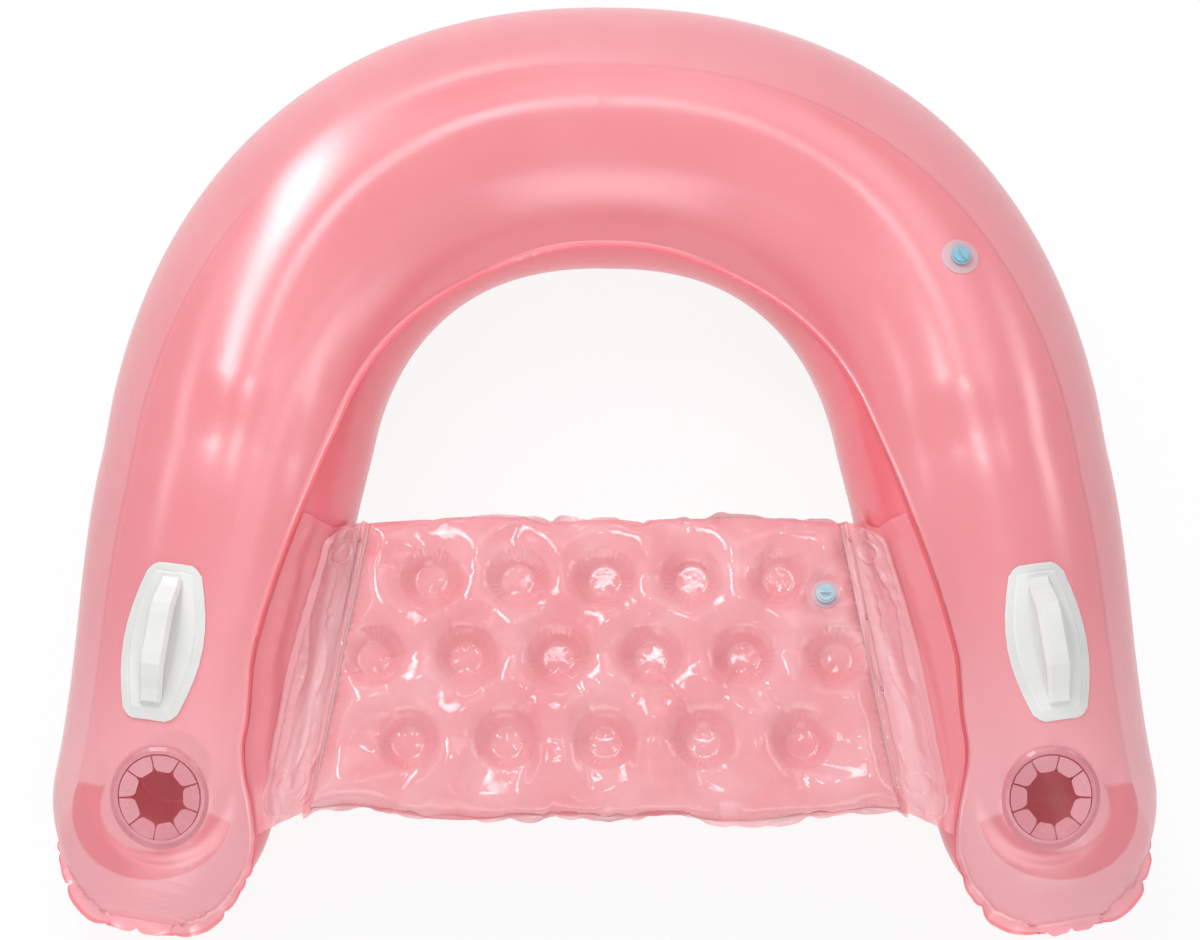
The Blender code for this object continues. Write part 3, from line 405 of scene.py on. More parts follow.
def pucker(run, away, station, outer):
    """Height of the small folds that a curved weld gathers beside itself."""
    tip = clamp(1 - (1 - station) * ARM_RUN / FOLD_TIP_RUN)
    bend = FOLD_OUTER_SHARE if outer else clamp(1 - abs(station - FOLD_MIDDLE) / FOLD_SPREAD)
    reach = FOLD_REACH[0] + FOLD_REACH_VARIED * abs(wobble(run * 17, 3.1 if outer else 7.7))
    reach += FOLD_REACH[1] * tip
    length = FOLD_LENGTH[0] + FOLD_LENGTH[1] * tip
    wave = math.sin(run * 2 * math.pi / length + 5 * wobble(run * 9, 1.7, away * 6))
    wave += 0.6 * math.sin(run * 2 * math.pi / FOLD_FINE_LENGTH + 4 * wobble(run * 14, 9.2))
    height = FOLD_HEIGHT[0] * bend + FOLD_HEIGHT[1] * tip
    height *= 0.4 + 1.4 * abs(wobble(run * 6.5, 4.4 if outer else 2.2))
    return height * wave * math.exp(-away / reach)


CUP_BACK = {side: skin_frame(side, 1 - CUP_FROM_TIP / ARM_RUN, CUP_ANGLE).inverted() for side in (1, -1)}


def cup_trough(side, station, angle):
    """How far the film is drawn in round the lower side of a cup, over its pocket's weld."""
    if station < TROUGH_STATION:
        return 0.0
    q = CUP_BACK[side] @ skin(side, station, angle)
    r = math.hypot(q.x, q.y)
    if q.z < TROUGH_BELOW or r > TROUGH_RADIUS:
        return 0.0
    below = eased(clamp((q.x / max(r, 1e-6) + TROUGH_TURN) / TROUGH_TURN))
    outer = eased(clamp((TROUGH_OUTER - r) / TROUGH_OUTER_RAMP))
    return TROUGH_DEPTH * below * outer * eased(clamp((r - TROUGH_INNER) / TROUGH_INNER_RAMP))


def film_point(side, station, run, angle, inner, outer):
    half_width, half_height, _ = section(station)
    radius = (half_width + half_height) / 2
    lift = pucker(run, abs(angle - inner) * radius, station, False)
    lift += pucker(run, abs(angle - outer) * radius, station, True)
    lift += UNEVENNESS * wobble(run * 4, angle * 1.6, side * 3.3) - cup_trough(side, station, angle)
    in_web_run = WEB_STATIONS[0] < station < WEB_STATIONS[1]
    under_web = in_web_run and (angle - 2 * math.pi > WEB_ANGLE or angle < 0)
    return skin(side, station, angle, min(lift, WEB_SINK) if under_web else lift)


def notch(run):
    """1 at the notches of a scalloped weld and 0 between them."""
    return (1 - abs(math.sin(run * math.pi / NOTCH_PITCH + 1.2 * wobble(run * 11, 6.0)))) ** 3


def lip_points(side, station, run, angle, turn, lips):
    """Points out from a seam, at right angles to its line, at each distance in lips."""
    along = plan(station)[1]
    inward = Vector((along.y, -along.x))
    radial = Vector((*(inward * math.cos(angle)), math.sin(angle)))
    start = local_skin(station, angle, 0)
    back = station if station < 0 else station - STEP
    ahead = (local_skin(back + STEP, angle, 0) - local_skin(back, angle, 0)).normalized()
    away = (radial - ahead * radial.dot(ahead)).normalized()
    offset = turn * (WELD_GAP / 2 + FILM)
    tip = clamp(1 - (1 - station) * ARM_RUN / LIP_TIP_RUN)
    corner = math.exp(-((((1 - station) * ARM_RUN - LIP_CORNER) / LIP_CORNER_RUN) ** 2))
    out = []
    for lip in lips:
        wave = (LIP_WAVE[0] + LIP_WAVE[1] * tip) * lip / SEAM_LIP
        sway = wave * (math.sin(run * 2 * math.pi / LIP_WAVE_LENGTH + 6 * wobble(run * 8, 5.0))
                       + 0.5 * math.sin(run * 2 * math.pi / LIP_FINE_LENGTH))
        reach = lip * (1 + tip * (1.3 + 0.6 * wobble(run * 30, 8.0) - 1.1 * notch(run)) + 0.9 * corner)
        base = start + away * reach
        flat = inward * -math.sin(angle) * (offset + sway)
        out.append(Vector((side * (base.x + flat.x), base.y + flat.y + CENTRE_Y,
                           base.z + math.cos(angle) * (offset + sway))))
    return out


def closed_tips(rows, upper):
    """The rows of a ring film with its two scalloped hems added at the ends."""
    along = plan(1)[1]
    level = section(1)[2] + (1 if upper else -1) * (WELD_GAP / 2 + FILM)
    for side, row, end in ((1, rows[0], False), (-1, rows[-1], True)):
        ahead = Vector((side * along.x, along.y, 0))
        shares = [0.02, 0.5] + [1.0] * (len(row) - 4) + [0.5, 0.02]
        closing = [Vector((p.x, p.y, level if k == 1 else p.z)) + ahead * HEM_GAP * k
                   for p, k in zip(row, shares)]
        hem = []
        for p, k in zip(closing, shares):
            reach = SEAM_LIP * (1.9 + 0.5 * wobble(p.x * 60, 2.0) - 1.1 * notch(p.x))
            for seam, tip in ((row[2], row[0]), (row[-3], row[-1])):
                near = 1 - eased(clamp((p.xy - seam.xy).length / HEM_CORNER))
                reach += (max((tip - seam).length - HEM_GAP, 0) - reach) * near
            sway = HEM_WAVE * math.sin(p.x * 2 * math.pi / HEM_WAVE_LENGTH)
            hem.append(p + ahead * reach * k + Vector((0, 0, sway)))
        rows = rows + [closing, hem] if end else [hem, closing] + rows
    return rows


def ring_film(name, upper, slot, cad):
    rows = []
    for side, station, run in tube_rows()[1:-1]:
        inner = math.radians(keyed(SEAM_KEYS, station))
        outer = math.radians(keyed(OUTER_SEAM_KEYS, station))
        first, last = (inner, outer) if upper else (outer, inner + 2 * math.pi)
        count = UPPER_COLUMNS if upper else LOWER_COLUMNS
        near = (inner, outer) if upper else (inner + 2 * math.pi, outer)
        lip = SEAM_LIP * (UPPER_LIP_SHARE if upper else 1)
        row = lip_points(side, station, run, first, 1, (lip, lip / 2, 0))
        row += [film_point(side, station, run, first + (last - first) * i / count, *near)
                for i in range(1, count)]
        rows.append(row + lip_points(side, station, run, last, -1, (0, lip / 2, lip)))
    rows = [[Vector((p.x, p.y, max(p.z, LEAST_HEIGHT))) for p in row]
            for row in closed_tips(rows, upper)]
    mesh = grid_mesh(name, rows)
    if upper:
        for side in (1, -1):
            opened(mesh, skin_frame(side, 1 - CUP_FROM_TIP / ARM_RUN, CUP_ANGLE), *CUP_HOLE)
        opened(mesh, skin_frame(1, RING_VALVE_STATION, RING_VALVE_ANGLE), VALVE_HOLE, VALVE_HOLE)
    obj = made(name, mesh, slot)
    obj.visible_shadow = not upper
    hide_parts(cad)


# The seat: two films drawn together at the welded dots and blown up

SEAT_STEP, QUICK_SEAT_STEP, ROW_PITCH, POINT_GAP, POINT_SWAY = 0.0052, 0.0080, 0.87, 0.6, 0.25
SEAT_PUFF, SEAT_PUFF_RUN, DRAWN_IN = 0.022, 0.030, 1e-5
FLANGE_WAVE, FLANGE_NOTCH, FLANGE_LIFT = 0.45, 0.5, 0.002
# Distances from the seat valve's middle: where its flange lies, and what keeps clear of it
VALVE_LEVEL, VALVE_LEVEL_RAMP, VALVE_PINNED = 0.0160, 0.012, 0.0165
VALVE_CLEAR, VALVE_CLEAR_RINGS, VALVE_CLEAR_STEADY, VALVE_CLEAR_FOLDS = 0.019, 0.0205, 0.020, 0.024
CLOTH = {
    "quality": 7, "mass": 0.25, "tension_stiffness": 30, "compression_stiffness": 30,
    "shear_stiffness": 8, "bending_stiffness": 0.12, "tension_damping": 8, "shear_damping": 8,
    "air_damping": 2, "vertex_group_mass": "welded", "pin_stiffness": 1, "use_pressure": True,
    "uniform_pressure_force": 5.0, "vertex_group_pressure": "blown", "shrink_min": -0.07,
}
CLOTH_FRAMES, CACHE_FRAMES, LARGEST_MOVE, STEADY_ROUNDS = 21, 24, 0.03, 5
CREASE_SPAN, CREASE_SWAY, CREASE_REACH = (0.06, 0.125), 0.0016, 0.01
CREASE_DEPTH, CREASE_WIDTH, CREASE_SHARE = 0.0028, 0.0026, (0.1, 0.9)
# Round a dot, with distances as shares of its radius
RIM_HEIGHT, RIM_WIDTH = 0.0013, 0.05
GUTTER_DEPTH, GUTTER_START, GUTTER_END, GUTTER_RAMP = 0.0024, 1.06, 1.72, 0.14


def seat_half(share):
    return SEAT_REAR_HALF + (SEAT_FRONT_HALF - SEAT_REAR_HALF) * share


def seat_share(y):
    return (SEAT_REAR_Y - y) / SEAT_DEPTH


def seat_place(share, column):
    return Vector((column * DOT_PITCH_SHARE * seat_half(share), SEAT_REAR_Y - share * SEAT_DEPTH))


DOTS = [seat_place(share, 2 * i - count + 1) for share, count in DOT_ROWS for i in range(count)]
SEAT_VALVE = seat_place(DOT_ROWS[0][0] + DOT_RADIUS / SEAT_DEPTH, 5)
RIDGES = 64
RINGS = ((0.4, 8, 0), (0.70, 16, 0), (0.86, 32, 0), (0.94, RIDGES, 0), (1.0, RIDGES, 0),
         (1.07, RIDGES, 0.0002), (1.22, RIDGES, 0.0013), (1.40, RIDGES, 0.0018), (1.56, RIDGES, 0.0012),
         (1.70, RIDGES, 0.0004), (1.84, RIDGES, 0))
VALVE_RINGS = ((VALVE_HOLE, 22), (0.0126, 22), (0.0155, 22), (0.0190, 22))


def edge_gap(p):
    share = seat_share(p.y)
    return min(share * SEAT_DEPTH, (1 - share) * SEAT_DEPTH, seat_half(share) - abs(p.x))


def seat_border(step):
    across, down = int(2 * SEAT_REAR_HALF / step), int(SEAT_DEPTH / step)
    border = [Vector((SEAT_REAR_HALF * (1 - 2 * i / across), SEAT_REAR_Y)) for i in range(across)]
    border += [Vector((-seat_half(i / down), SEAT_REAR_Y - i / down * SEAT_DEPTH)) for i in range(down)]
    border += [Vector((SEAT_FRONT_HALF * (2 * i / across - 1), SEAT_REAR_Y - SEAT_DEPTH))
               for i in range(across)]
    return border + [Vector((seat_half(1 - i / down), SEAT_REAR_Y - (1 - i / down) * SEAT_DEPTH))
                     for i in range(down)]


def seat_points(step):
    """Plan points of a seat film's border and of the rest, and which are ridges round a dot."""
    inner, ridges, border = [], [], seat_border(step)
    for radius, count in VALVE_RINGS:
        inner += [SEAT_VALVE + Vector((math.cos(t), math.sin(t))) * radius
                  for t in [2 * math.pi * i / count for i in range(count)]]
    inner.append(SEAT_VALVE.copy())
    for number, dot in enumerate(DOTS):
        inner.append(dot.copy())
        for share, count, height in RINGS:
            for i in range(count):
                turn = 2 * math.pi * i / count
                p = dot + Vector((math.cos(turn), math.sin(turn))) * DOT_RADIUS * share
                if edge_gap(p) < step * POINT_GAP or (p - SEAT_VALVE).length < VALVE_CLEAR_RINGS:
                    continue
                if height:
                    ridges.append((len(border) + len(inner), number, turn, height * (-1) ** i))
                inner.append(p)
    field, rows = [], int(SEAT_DEPTH / (step * ROW_PITCH))
    for j in range(1, rows):
        share = j / rows
        half = seat_half(share)
        count = int(2 * half / step)
        for i in range(count):
            p = Vector((-half + (i + 0.5 * (1 + j % 2)) * 2 * half / count,
                        SEAT_REAR_Y - share * SEAT_DEPTH))
            clear = min((p - d).length for d in DOTS) - DOT_RADIUS * RINGS[-1][0]
            if min(edge_gap(p), clear, (p - SEAT_VALVE).length - VALVE_CLEAR) < step * POINT_GAP:
                continue
            sway = Vector((wobble(p.x * 90, p.y * 90), wobble(p.y * 90, p.x * 90, 4)))
            field.append(p + sway * step * POINT_SWAY)
    return border, inner + field, ridges


def seat_mesh(step):
    border, rest, ridges = seat_points(step)
    n = len(border)
    edges = [(i, (i + 1) % n) for i in range(n)]
    points, _, faces, _, _, _ = delaunay_2d_cdt(border + rest, edges, [], 1, 1e-7)
    bm = bmesh.new()
    upper, lower = [], []
    for i, p in enumerate(points):
        gaps = [edge_gap(p)] + [(p - d).length - DOT_RADIUS for d in DOTS]
        free = sum(max(g, DRAWN_IN) ** -3 for g in gaps) ** (-1 / 3)
        rise = SEAT_PUFF * math.sqrt(1 - (1 - clamp(free / SEAT_PUFF_RUN)) ** 2)
        to_valve = (p - SEAT_VALVE).length - VALVE_LEVEL
        up = SEAT_VALVE_RISE + (rise - SEAT_VALVE_RISE) * eased(clamp(to_valve / VALVE_LEVEL_RAMP))
        v = bm.verts.new((p.x, p.y, SEAT_HEIGHT + (0 if i < n else FILM + up)))
        upper.append(v)
        lower.append(v if i < n else bm.verts.new((p.x, p.y, SEAT_HEIGHT - FILM - rise)))
    for face in faces:
        a, b = [upper[i] for i in face], [lower[i] for i in face]
        if (a[1].co - a[0].co).cross(a[2].co - a[0].co).z < 0:
            a, b = a[::-1], b[::-1]
        middle = sum((points[i] for i in face), Vector((0, 0))) / len(face)
        if (middle - SEAT_VALVE).length > VALVE_HOLE * 0.99:
            bm.faces.new(a)
        if len({*a, *b}) > 3:
            bm.faces.new(b[::-1])
    flange = []
    for p in points[:n]:
        out = Vector((0, 0))
        out.y += 1 if abs(p.y - SEAT_REAR_Y) < 1e-6 else 0
        out.y -= 1 if abs(p.y - SEAT_REAR_Y + SEAT_DEPTH) < 1e-6 else 0
        if abs(abs(p.x) - seat_half(seat_share(p.y))) < 1e-5:
            out.x = math.copysign(1, p.x)
        wave = 1 + FLANGE_WAVE * wobble(p.x * 38, out.y * 5) - FLANGE_NOTCH * notch(p.x * 0.8 + out.y)
        sway = wobble(p.x * 70, out.y * 3)
        flange.append([bm.verts.new((p.x + out.x * SEAT_FLANGE * k, p.y + out.y * SEAT_FLANGE * k * wave,
                                     SEAT_HEIGHT + abs(out.y) * FLANGE_LIFT * k * sway))
                       for k in (0.5, 1)])
    for i in range(n):
        j = (i + 1) % n
        bm.faces.new((upper[i], upper[j], flange[j][0], flange[i][0]))
        bm.faces.new((flange[i][0], flange[j][0], flange[j][1], flange[i][1]))
    mesh = bpy.data.meshes.new("seat_films")
    bm.to_mesh(mesh)
    bm.free()
    return mesh, n, len(points), ridges


def blow_up(obj, border, total):
    """Inflates the seat between its welds, with a little spare film that wrinkles."""
    mesh = obj.data
    pinned = obj.vertex_groups.new(name="welded")
    blown = obj.vertex_groups.new(name="blown")
    flange_start = border + 2 * (total - border)
    for v in mesh.vertices:
        p = Vector(v.co[:2])
        on_dot = min((p - d).length for d in DOTS) < DOT_RADIUS * 1.02
        on_valve = (p - SEAT_VALVE).length < VALVE_PINNED and v.co.z > SEAT_HEIGHT
        on_side = seat_half(clamp(seat_share(p.y))) - abs(p.x) < 0.001
        if on_dot or on_valve or on_side:
            pinned.add([v.index], 1.0, "REPLACE")
        if v.index < flange_start:
            blown.add([v.index], 1.0, "REPLACE")
    cloth = obj.modifiers.new("cloth", "CLOTH")
    for key, value in CLOTH.items():
        setattr(cloth.settings, key, value)
    cloth.settings.effector_weights.gravity = 0
    cloth.collision_settings.use_collision = False
    scene = bpy.context.scene
    scene.frame_start = 1
    cloth.point_cache.frame_start, cloth.point_cache.frame_end = 1, CACHE_FRAMES
    for frame_number in range(1, CLOTH_FRAMES + 1):
        scene.frame_set(frame_number)
    graph = bpy.context.evaluated_depsgraph_get()
    done = bpy.data.meshes.new_from_object(obj.evaluated_get(graph))
    start = [v.co.copy() for v in mesh.vertices]
    obj.modifiers.clear()
    obj.data = done
    for v, old in zip(done.vertices, start):
        move = v.co - old
        if move.length > LARGEST_MOVE:
            v.co = old + move * (LARGEST_MOVE / move.length)
    scene.frame_set(1)


def crease(p):
    """How deep the thin creases that run from dot to dot draw the film in."""
    deep = 0.0
    for i, a in enumerate(DOTS):
        for k, b in enumerate(DOTS[:i]):
            way = b - a
            if CREASE_SPAN[0] < way.length < CREASE_SPAN[1]:
                along = (p - a).dot(way) / way.length_squared
                off = abs((p - a).cross(way)) / way.length
                off += CREASE_SWAY * wobble(along * 5, i, k)
                if CREASE_SHARE[0] < along < CREASE_SHARE[1] and off < CREASE_REACH:
                    size = CREASE_DEPTH * clamp(0.45 + 1.8 * wobble(i * 3.1, k * 2.3, 7))
                    size *= math.exp(-((off / CREASE_WIDTH) ** 2))
                    deep = max(deep, size * math.sin(along * math.pi) ** 0.5)
    return deep


def steady(mesh, rounds):
    """Evens out the small crumples that the blown film has, welds and edges apart."""
    bm = bmesh.new()
    bm.from_mesh(mesh)
    free = [v for v in bm.verts if edge_gap(v.co.xy) > 0.004
            and (v.co.xy - SEAT_VALVE).length > VALVE_CLEAR_STEADY
            and min((v.co.xy - d).length for d in DOTS) > DOT_RADIUS * 1.03]
    for _ in range(rounds):
        bmesh.ops.smooth_vert(bm, verts=free, factor=0.5,
                              use_axis_x=True, use_axis_y=True, use_axis_z=True)
    bm.to_mesh(mesh)
    bm.free()


def dot_relief(q):
    """The rim of a dot, and the gutter round it that ends in a second, softer rim."""
    rim = RIM_HEIGHT * math.exp(-(((q - 1.0) / RIM_WIDTH) ** 2))
    into = eased(clamp((q - GUTTER_START) / GUTTER_RAMP))
    return rim - GUTTER_DEPTH * into * eased(clamp((GUTTER_END - q) / GUTTER_RAMP))


def gather(mesh, border, ridges):
    """Small radial folds round each dot, strong on some sides and absent on others."""
    for v in mesh.vertices:
        p = Vector(v.co[:2])
        if edge_gap(p) > 0.002 and (p - SEAT_VALVE).length > VALVE_CLEAR_FOLDS:
            facing = 1 if v.co.z > SEAT_HEIGHT else -1
            nearest = min((p - d).length for d in DOTS) / DOT_RADIUS
            v.co.z += facing * (dot_relief(nearest) - crease(p))
    for i, number, turn, height in ridges:
        strength = clamp(0.25 + 2.0 * wobble(math.cos(turn) * 1.3 + number * 3.7, math.sin(turn) * 1.3))
        for k, facing in ((border + 2 * (i - border), 1), (border + 2 * (i - border) + 1, -1)):
            mesh.vertices[k].co.z += facing * height * strength


def make_seat():
    mesh, border, total, ridges = seat_mesh(SEAT_STEP)
    obj = made("seat_films", mesh, "film_pink", "film_seat")
    blow_up(obj, border, total)
    steady(obj.data, STEADY_ROUNDS)
    gather(obj.data, border, ridges)
    obj.data.shade_smooth()
    smooth = obj.modifiers.new("smooth", "SUBSURF")
    smooth.levels = smooth.render_levels = 1
    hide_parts("seat_top_sheet", "seat_bottom_sheet")


# Webs and doubled strips that hang the seat from the arms

WEB_ROWS, WEB_COLUMNS, LINE_COLUMNS, STRIP_ROWS, STRIP_COLUMNS = 72, 40, 24, 220, 60
WEB_FOLD, WEB_FOLDS, WEB_WRINKLE, WEB_FREE = 0.0042, 9.0, 0.0011, 0.02
# The puff of film that stands up at the rear end of the right web
PEAK_REACH, PEAK_WIDTH, PEAK_ROWS, PEAK_OUT, PEAK_BACK = 0.036, 0.006, 3, 0.004, 0.017
STRIP_SHORT, STRIP_START, STRIP_END_RUN, STRIP_LEAST_HALF = 0.006, 0.003, 0.024, 0.004
STRIP_FOLD, STRIP_WRINKLE, STRIP_GAP, STRIP_FADE = 0.0036, 0.0011, 0.0005, 0.004
STRIP_RIM, STRIP_RIM_IN, STRIP_RIM_WIDTH = 0.0022, 0.0055, 0.0017
SPOT_WELDS, SPOT_RIM, SPOT_RIM_WIDTH, SPOT_RAMP = ((0.028, 0.0115), (0.266, 0.0095)), 0.0026, 0.0016, 0.012


def station_at(y):
    start, along = plan(0)
    return (y - CENTRE_Y - start.y) / (along.y * ARM_RUN)


def web_line(side, y, columns):
    """Points across a web, from its lap on the seat's flange up to the ring's seam."""
    edge = seat_half(clamp(seat_share(y))) + SEAT_FLANGE
    top = SEAT_HEIGHT + WELD_GAP / 2 + FILM + CLEARANCE + FILM
    station = station_at(y)
    point, along = plan(station)
    half_width, _, centre = section(station)
    away = Vector(((edge - point.x) * along.y, SEAT_HEIGHT - centre))
    reach = max(away.length, half_width + WEB_LIFT)
    high = math.radians(keyed(SEAM_KEYS, station)) - WEB_MARGIN
    low = math.atan2(away.y, away.x) + math.acos((half_width + WEB_LIFT) / reach)
    low = min(low, high - WEB_MARGIN)
    flank = [skin(side, station, low + (high - low) * i / columns, WEB_LIFT)
             for i in range(columns + 1)]
    return [Vector((side * (edge - WEB_LAP), y, top)), Vector((side * edge, y, top))] + flank


def along_line(line, reach):
    """The point this far along a polyline, and the way the line runs there."""
    for a, b in zip(line, line[1:]):
        step = (b - a).length
        if reach <= step or b is line[-1]:
            return a.lerp(b, min(reach / step, 1)), (b - a) / step
        reach -= step


def line_length(line):
    return sum((b - a).length for a, b in zip(line, line[1:]))


def web_fold(side, reach, total, y):
    """Height of the web's long folds, which run with the seat's edge."""
    share, down = reach / total, seat_share(y)
    free = clamp(reach / WEB_FREE - 0.3) * clamp((total - reach) / WEB_FREE)
    ends = 0.4 + 0.6 * clamp(min(down, 1 - down) / 0.15)
    lean = share + 0.10 * math.sin(down * 3.1 + side) + 0.05 * wobble(down * 4, side * 2.0)
    fold = abs(math.sin(lean * WEB_FOLDS)) ** 1.6 * WEB_FOLD
    small = WEB_WRINKLE * (1 + math.sin(down * 74 + 9 * wobble(share * 3, down * 3, side)))
    return free * (fold * ends + small * clamp(3 * wobble(share * 5, down * 6, 5 + side)))


def out_of(side, along_way):
    return Vector((-side * along_way.z, 0, side * along_way.x)).normalized()


def make_web(side, word):
    rows, spans = [], []
    for j in range(WEB_ROWS + 1):
        y = SEAT_REAR_Y - SEAT_DEPTH * j / WEB_ROWS
        line = web_line(side, y, LINE_COLUMNS)
        total = line_length(line)
        spans.append(total)
        row = []
        for i in range(WEB_COLUMNS + 1):
            reach = total * i / WEB_COLUMNS
            p, way = along_line(line, reach)
            peak = math.exp(-(((reach - PEAK_REACH) / PEAK_WIDTH) ** 2)) * max(1 - j / PEAK_ROWS, 0)
            peak = peak if side > 0 else 0.0
            row.append(p + out_of(side, way) * (web_fold(side, reach, total, y) + PEAK_OUT * peak)
                       + Vector((0, PEAK_BACK * peak, 0)))
        rows.append(row)
    obj = made("web_film_" + word, grid_mesh("web_film_" + word, rows), "film_pink_pale")
    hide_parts("seat_web_" + word)


def strip_width(v):
    return (STRIP_REAR_WIDTH + (STRIP_FRONT_WIDTH - STRIP_REAR_WIDTH) * v / SEAT_DEPTH) * STRIP_SHOWN


def strip_half(v):
    """Half width of a strip with rounded ends, v being the distance from its rear end."""
    blunt = clamp(1 - min(v, SEAT_DEPTH - STRIP_SHORT - v) / STRIP_END_RUN)
    return max(strip_width(v) / 2 * math.sqrt(max(1 - blunt**2.4, 0.0)), STRIP_LEAST_HALF)


def strip_relief(side, u, v):
    """Folds of a doubled strip: long creases, small cross wrinkles, two spot welds."""
    down, half = v / SEAT_DEPTH, strip_half(v)
    long = abs(math.sin(u / half * 4.2 + 1.1 * math.sin(down * 4 + side) + 1.6 * wobble(down * 5, side)))
    height = STRIP_FOLD * (1 - long) ** 2.2 * clamp(2.2 * wobble(u * 20, down * 5, 3 * side) + 0.75)
    height += STRIP_WRINKLE * abs(wobble(u * 60, down * 34, 7 * side))
    rim = half - abs(u)
    height += STRIP_RIM * math.exp(-((rim - STRIP_RIM_IN) / STRIP_RIM_WIDTH) ** 2)
    for at, radius in SPOT_WELDS:
        ring = math.hypot(u / 1.4, v - at)
        near = eased(clamp((ring - radius) / SPOT_RAMP))
        height = height * near + SPOT_RIM * math.exp(-((ring - radius - 0.001) / SPOT_RIM_WIDTH) ** 2)
    return height * clamp(rim / STRIP_FADE + 0.15)


def make_strip(side, word):
    rows = []
    for j in range(STRIP_ROWS + 1):
        v = (SEAT_DEPTH - STRIP_SHORT) * j / STRIP_ROWS
        y = SEAT_REAR_Y - STRIP_START - v
        line = web_line(side, y, LINE_COLUMNS)
        total = line_length(line)
        half = strip_half(v)
        row = []
        for i in range(STRIP_COLUMNS + 1):
            u = half * (2 * i / STRIP_COLUMNS - 1)
            reach = max(strip_width(v) / 2 + u + STRIP_GAP, 0)
            p, way = along_line(line, reach)
            base = web_fold(side, reach, total, y)
            row.append(p + out_of(side, way) * (base + STRIP_LIFT + strip_relief(side, u, v)))
        rows.append(row)
    mesh = grid_mesh("strip_film_" + word, rows)
    obj = made("strip_film_" + word, mesh, "film_pink_pale", "film_strip")
    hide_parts("seat_strip_" + word)


# Handles: the knurled border of the moulded plate

OUTLINE_POINTS, KNURL_PITCH, KNURL_COLUMNS, KNURL_HEIGHT = 400, 0.0011, 8, 0.00032
KNURL_INSET, KNURL_SHARE, KNURL_LIFT, TANGENT_POINTS = 0.0006, 0.76, 0.00008, 6


def handle_half(along):
    bow = math.cos(abs(along) / (HANDLE_LENGTH / 2) * math.pi / 2)
    half = (HANDLE_END_WIDTH + (HANDLE_WIDTH - HANDLE_END_WIDTH) * bow) / 2
    corner = max(abs(along) - HANDLE_LENGTH / 2 + HANDLE_CORNER, 0) / HANDLE_CORNER
    return half - HANDLE_CORNER * (1 - math.sqrt(max(1 - corner**2, 0))) * HANDLE_ROUND


def handle_outline():
    """(along, across) points evenly round the plate's edge."""
    end = HANDLE_LENGTH / 2
    places = [-end + 2 * end * i / OUTLINE_POINTS for i in range(OUTLINE_POINTS + 1)]
    side = [(a, handle_half(a)) for a in places]
    loop = side + [(a, -b) for a, b in reversed(side)]
    lengths = [0.0]
    for a, b in zip(loop, loop[1:] + loop[:1]):
        lengths.append(lengths[-1] + math.dist(a, b))
    count = int(lengths[-1] / KNURL_PITCH) // 2 * 2
    out, i = [], 0
    for k in range(count):
        want = lengths[-1] * k / count
        while lengths[i + 1] < want:
            i += 1
        a, b = loop[i], loop[(i + 1) % len(loop)]
        t = (want - lengths[i]) / max(lengths[i + 1] - lengths[i], 1e-9)
        out.append(Vector((a[0] + (b[0] - a[0]) * t, a[1] + (b[1] - a[1]) * t)))
    return out


def make_knurl(side, word):
    outline = handle_outline()
    count = len(outline)
    rows = []
    for k, p in enumerate(outline):
        tangent = (outline[(k + TANGENT_POINTS) % count] - outline[k - TANGENT_POINTS]).normalized()
        inward = Vector((-tangent.y, tangent.x))
        if inward.dot(-p) < 0:
            inward = -inward
        row = []
        for i in range(KNURL_COLUMNS + 1):
            q = p + inward * (KNURL_INSET + (HANDLE_FLANGE * KNURL_SHARE) * i / KNURL_COLUMNS)
            bump = KNURL_HEIGHT if (k + i) % 2 and 0 < i < KNURL_COLUMNS else 0.0
            lift = LAY_ON + HANDLE_PLATE + KNURL_LIFT + bump
            row.append(wrapped(side, 1 - HANDLE_FROM_TIP / ARM_RUN, HANDLE_ANGLE, q.x, q.y, lift))
        rows.append(row)
    mesh = grid_mesh("handle_knurl_" + word, rows, ring=True)
    made("handle_knurl_" + word, mesh, "white_vinyl", "white_vinyl_knurled")


ring_film("ring_upper_film", True, "film_pink", "ring_top_sheet")
ring_film("ring_lower_film", False, "film_pink_deep", "ring_bottom_sheet")
make_seat()
for side, word in ((1, "right"), (-1, "left")):
    make_web(side, word)
    make_strip(side, word)
    make_knurl(side, word)

# Floor, light and camera

# Name, direction in degrees, distance, size, radiance and how many lamps are laid together
LAMPS = (
    ("key", (-34, 51), 3.0, (0.56, 2.1), 21.5, 3),
    ("upper_right", (24, 60), 3.0, (1.6, 1.3), 2.2, 4),
    ("seat_top", (8, 77), 3.0, (0.42, 0.24), 18, 2),
    ("seat_left", (-42, 68), 3.0, (0.30, 0.12), 8, 2),
    ("seat_right", (52, 64), 3.0, (0.30, 0.10), 8, 2),
    ("left_spark", (-70, 42), 3.0, (1.5, 0.5), 4, 4),
    ("right_spark", (70, 36), 3.0, (1.5, 0.7), 5, 4),
    ("rear_spark", (-12, 40), 3.0, (0.9, 0.3), 6, 4),
    ("front", (180, 28), 3.2, (3.6, 2.4), 3.6, 5),
)
LAMP_SPACING = 0.002
FLOOR_HALF, FLOOR_WHITE, FLOOR_SEEN = 12, 1.03, 0.86
WORLD_LIGHT, WORLD_SEEN = 0.37, 0.86
CAMERA_SENSOR, CAMERA_LENS, CAMERA_DISTANCE = 36, 105, 3.73
CAMERA_ELEVATION, CAMERA_TARGET = math.radians(70), (-0.005, 0.0274, 0)


def soft(name, direction, distance, size, radiance, steps):
    """A lamp whose light falls off towards its edges: lamps laid over one another."""
    for i in range(steps):
        share = 1 - i / steps
        area(name + "_" + str(i), direction, distance - i * LAMP_SPACING,
             (size[0] * share, size[1] * share), radiance / steps)


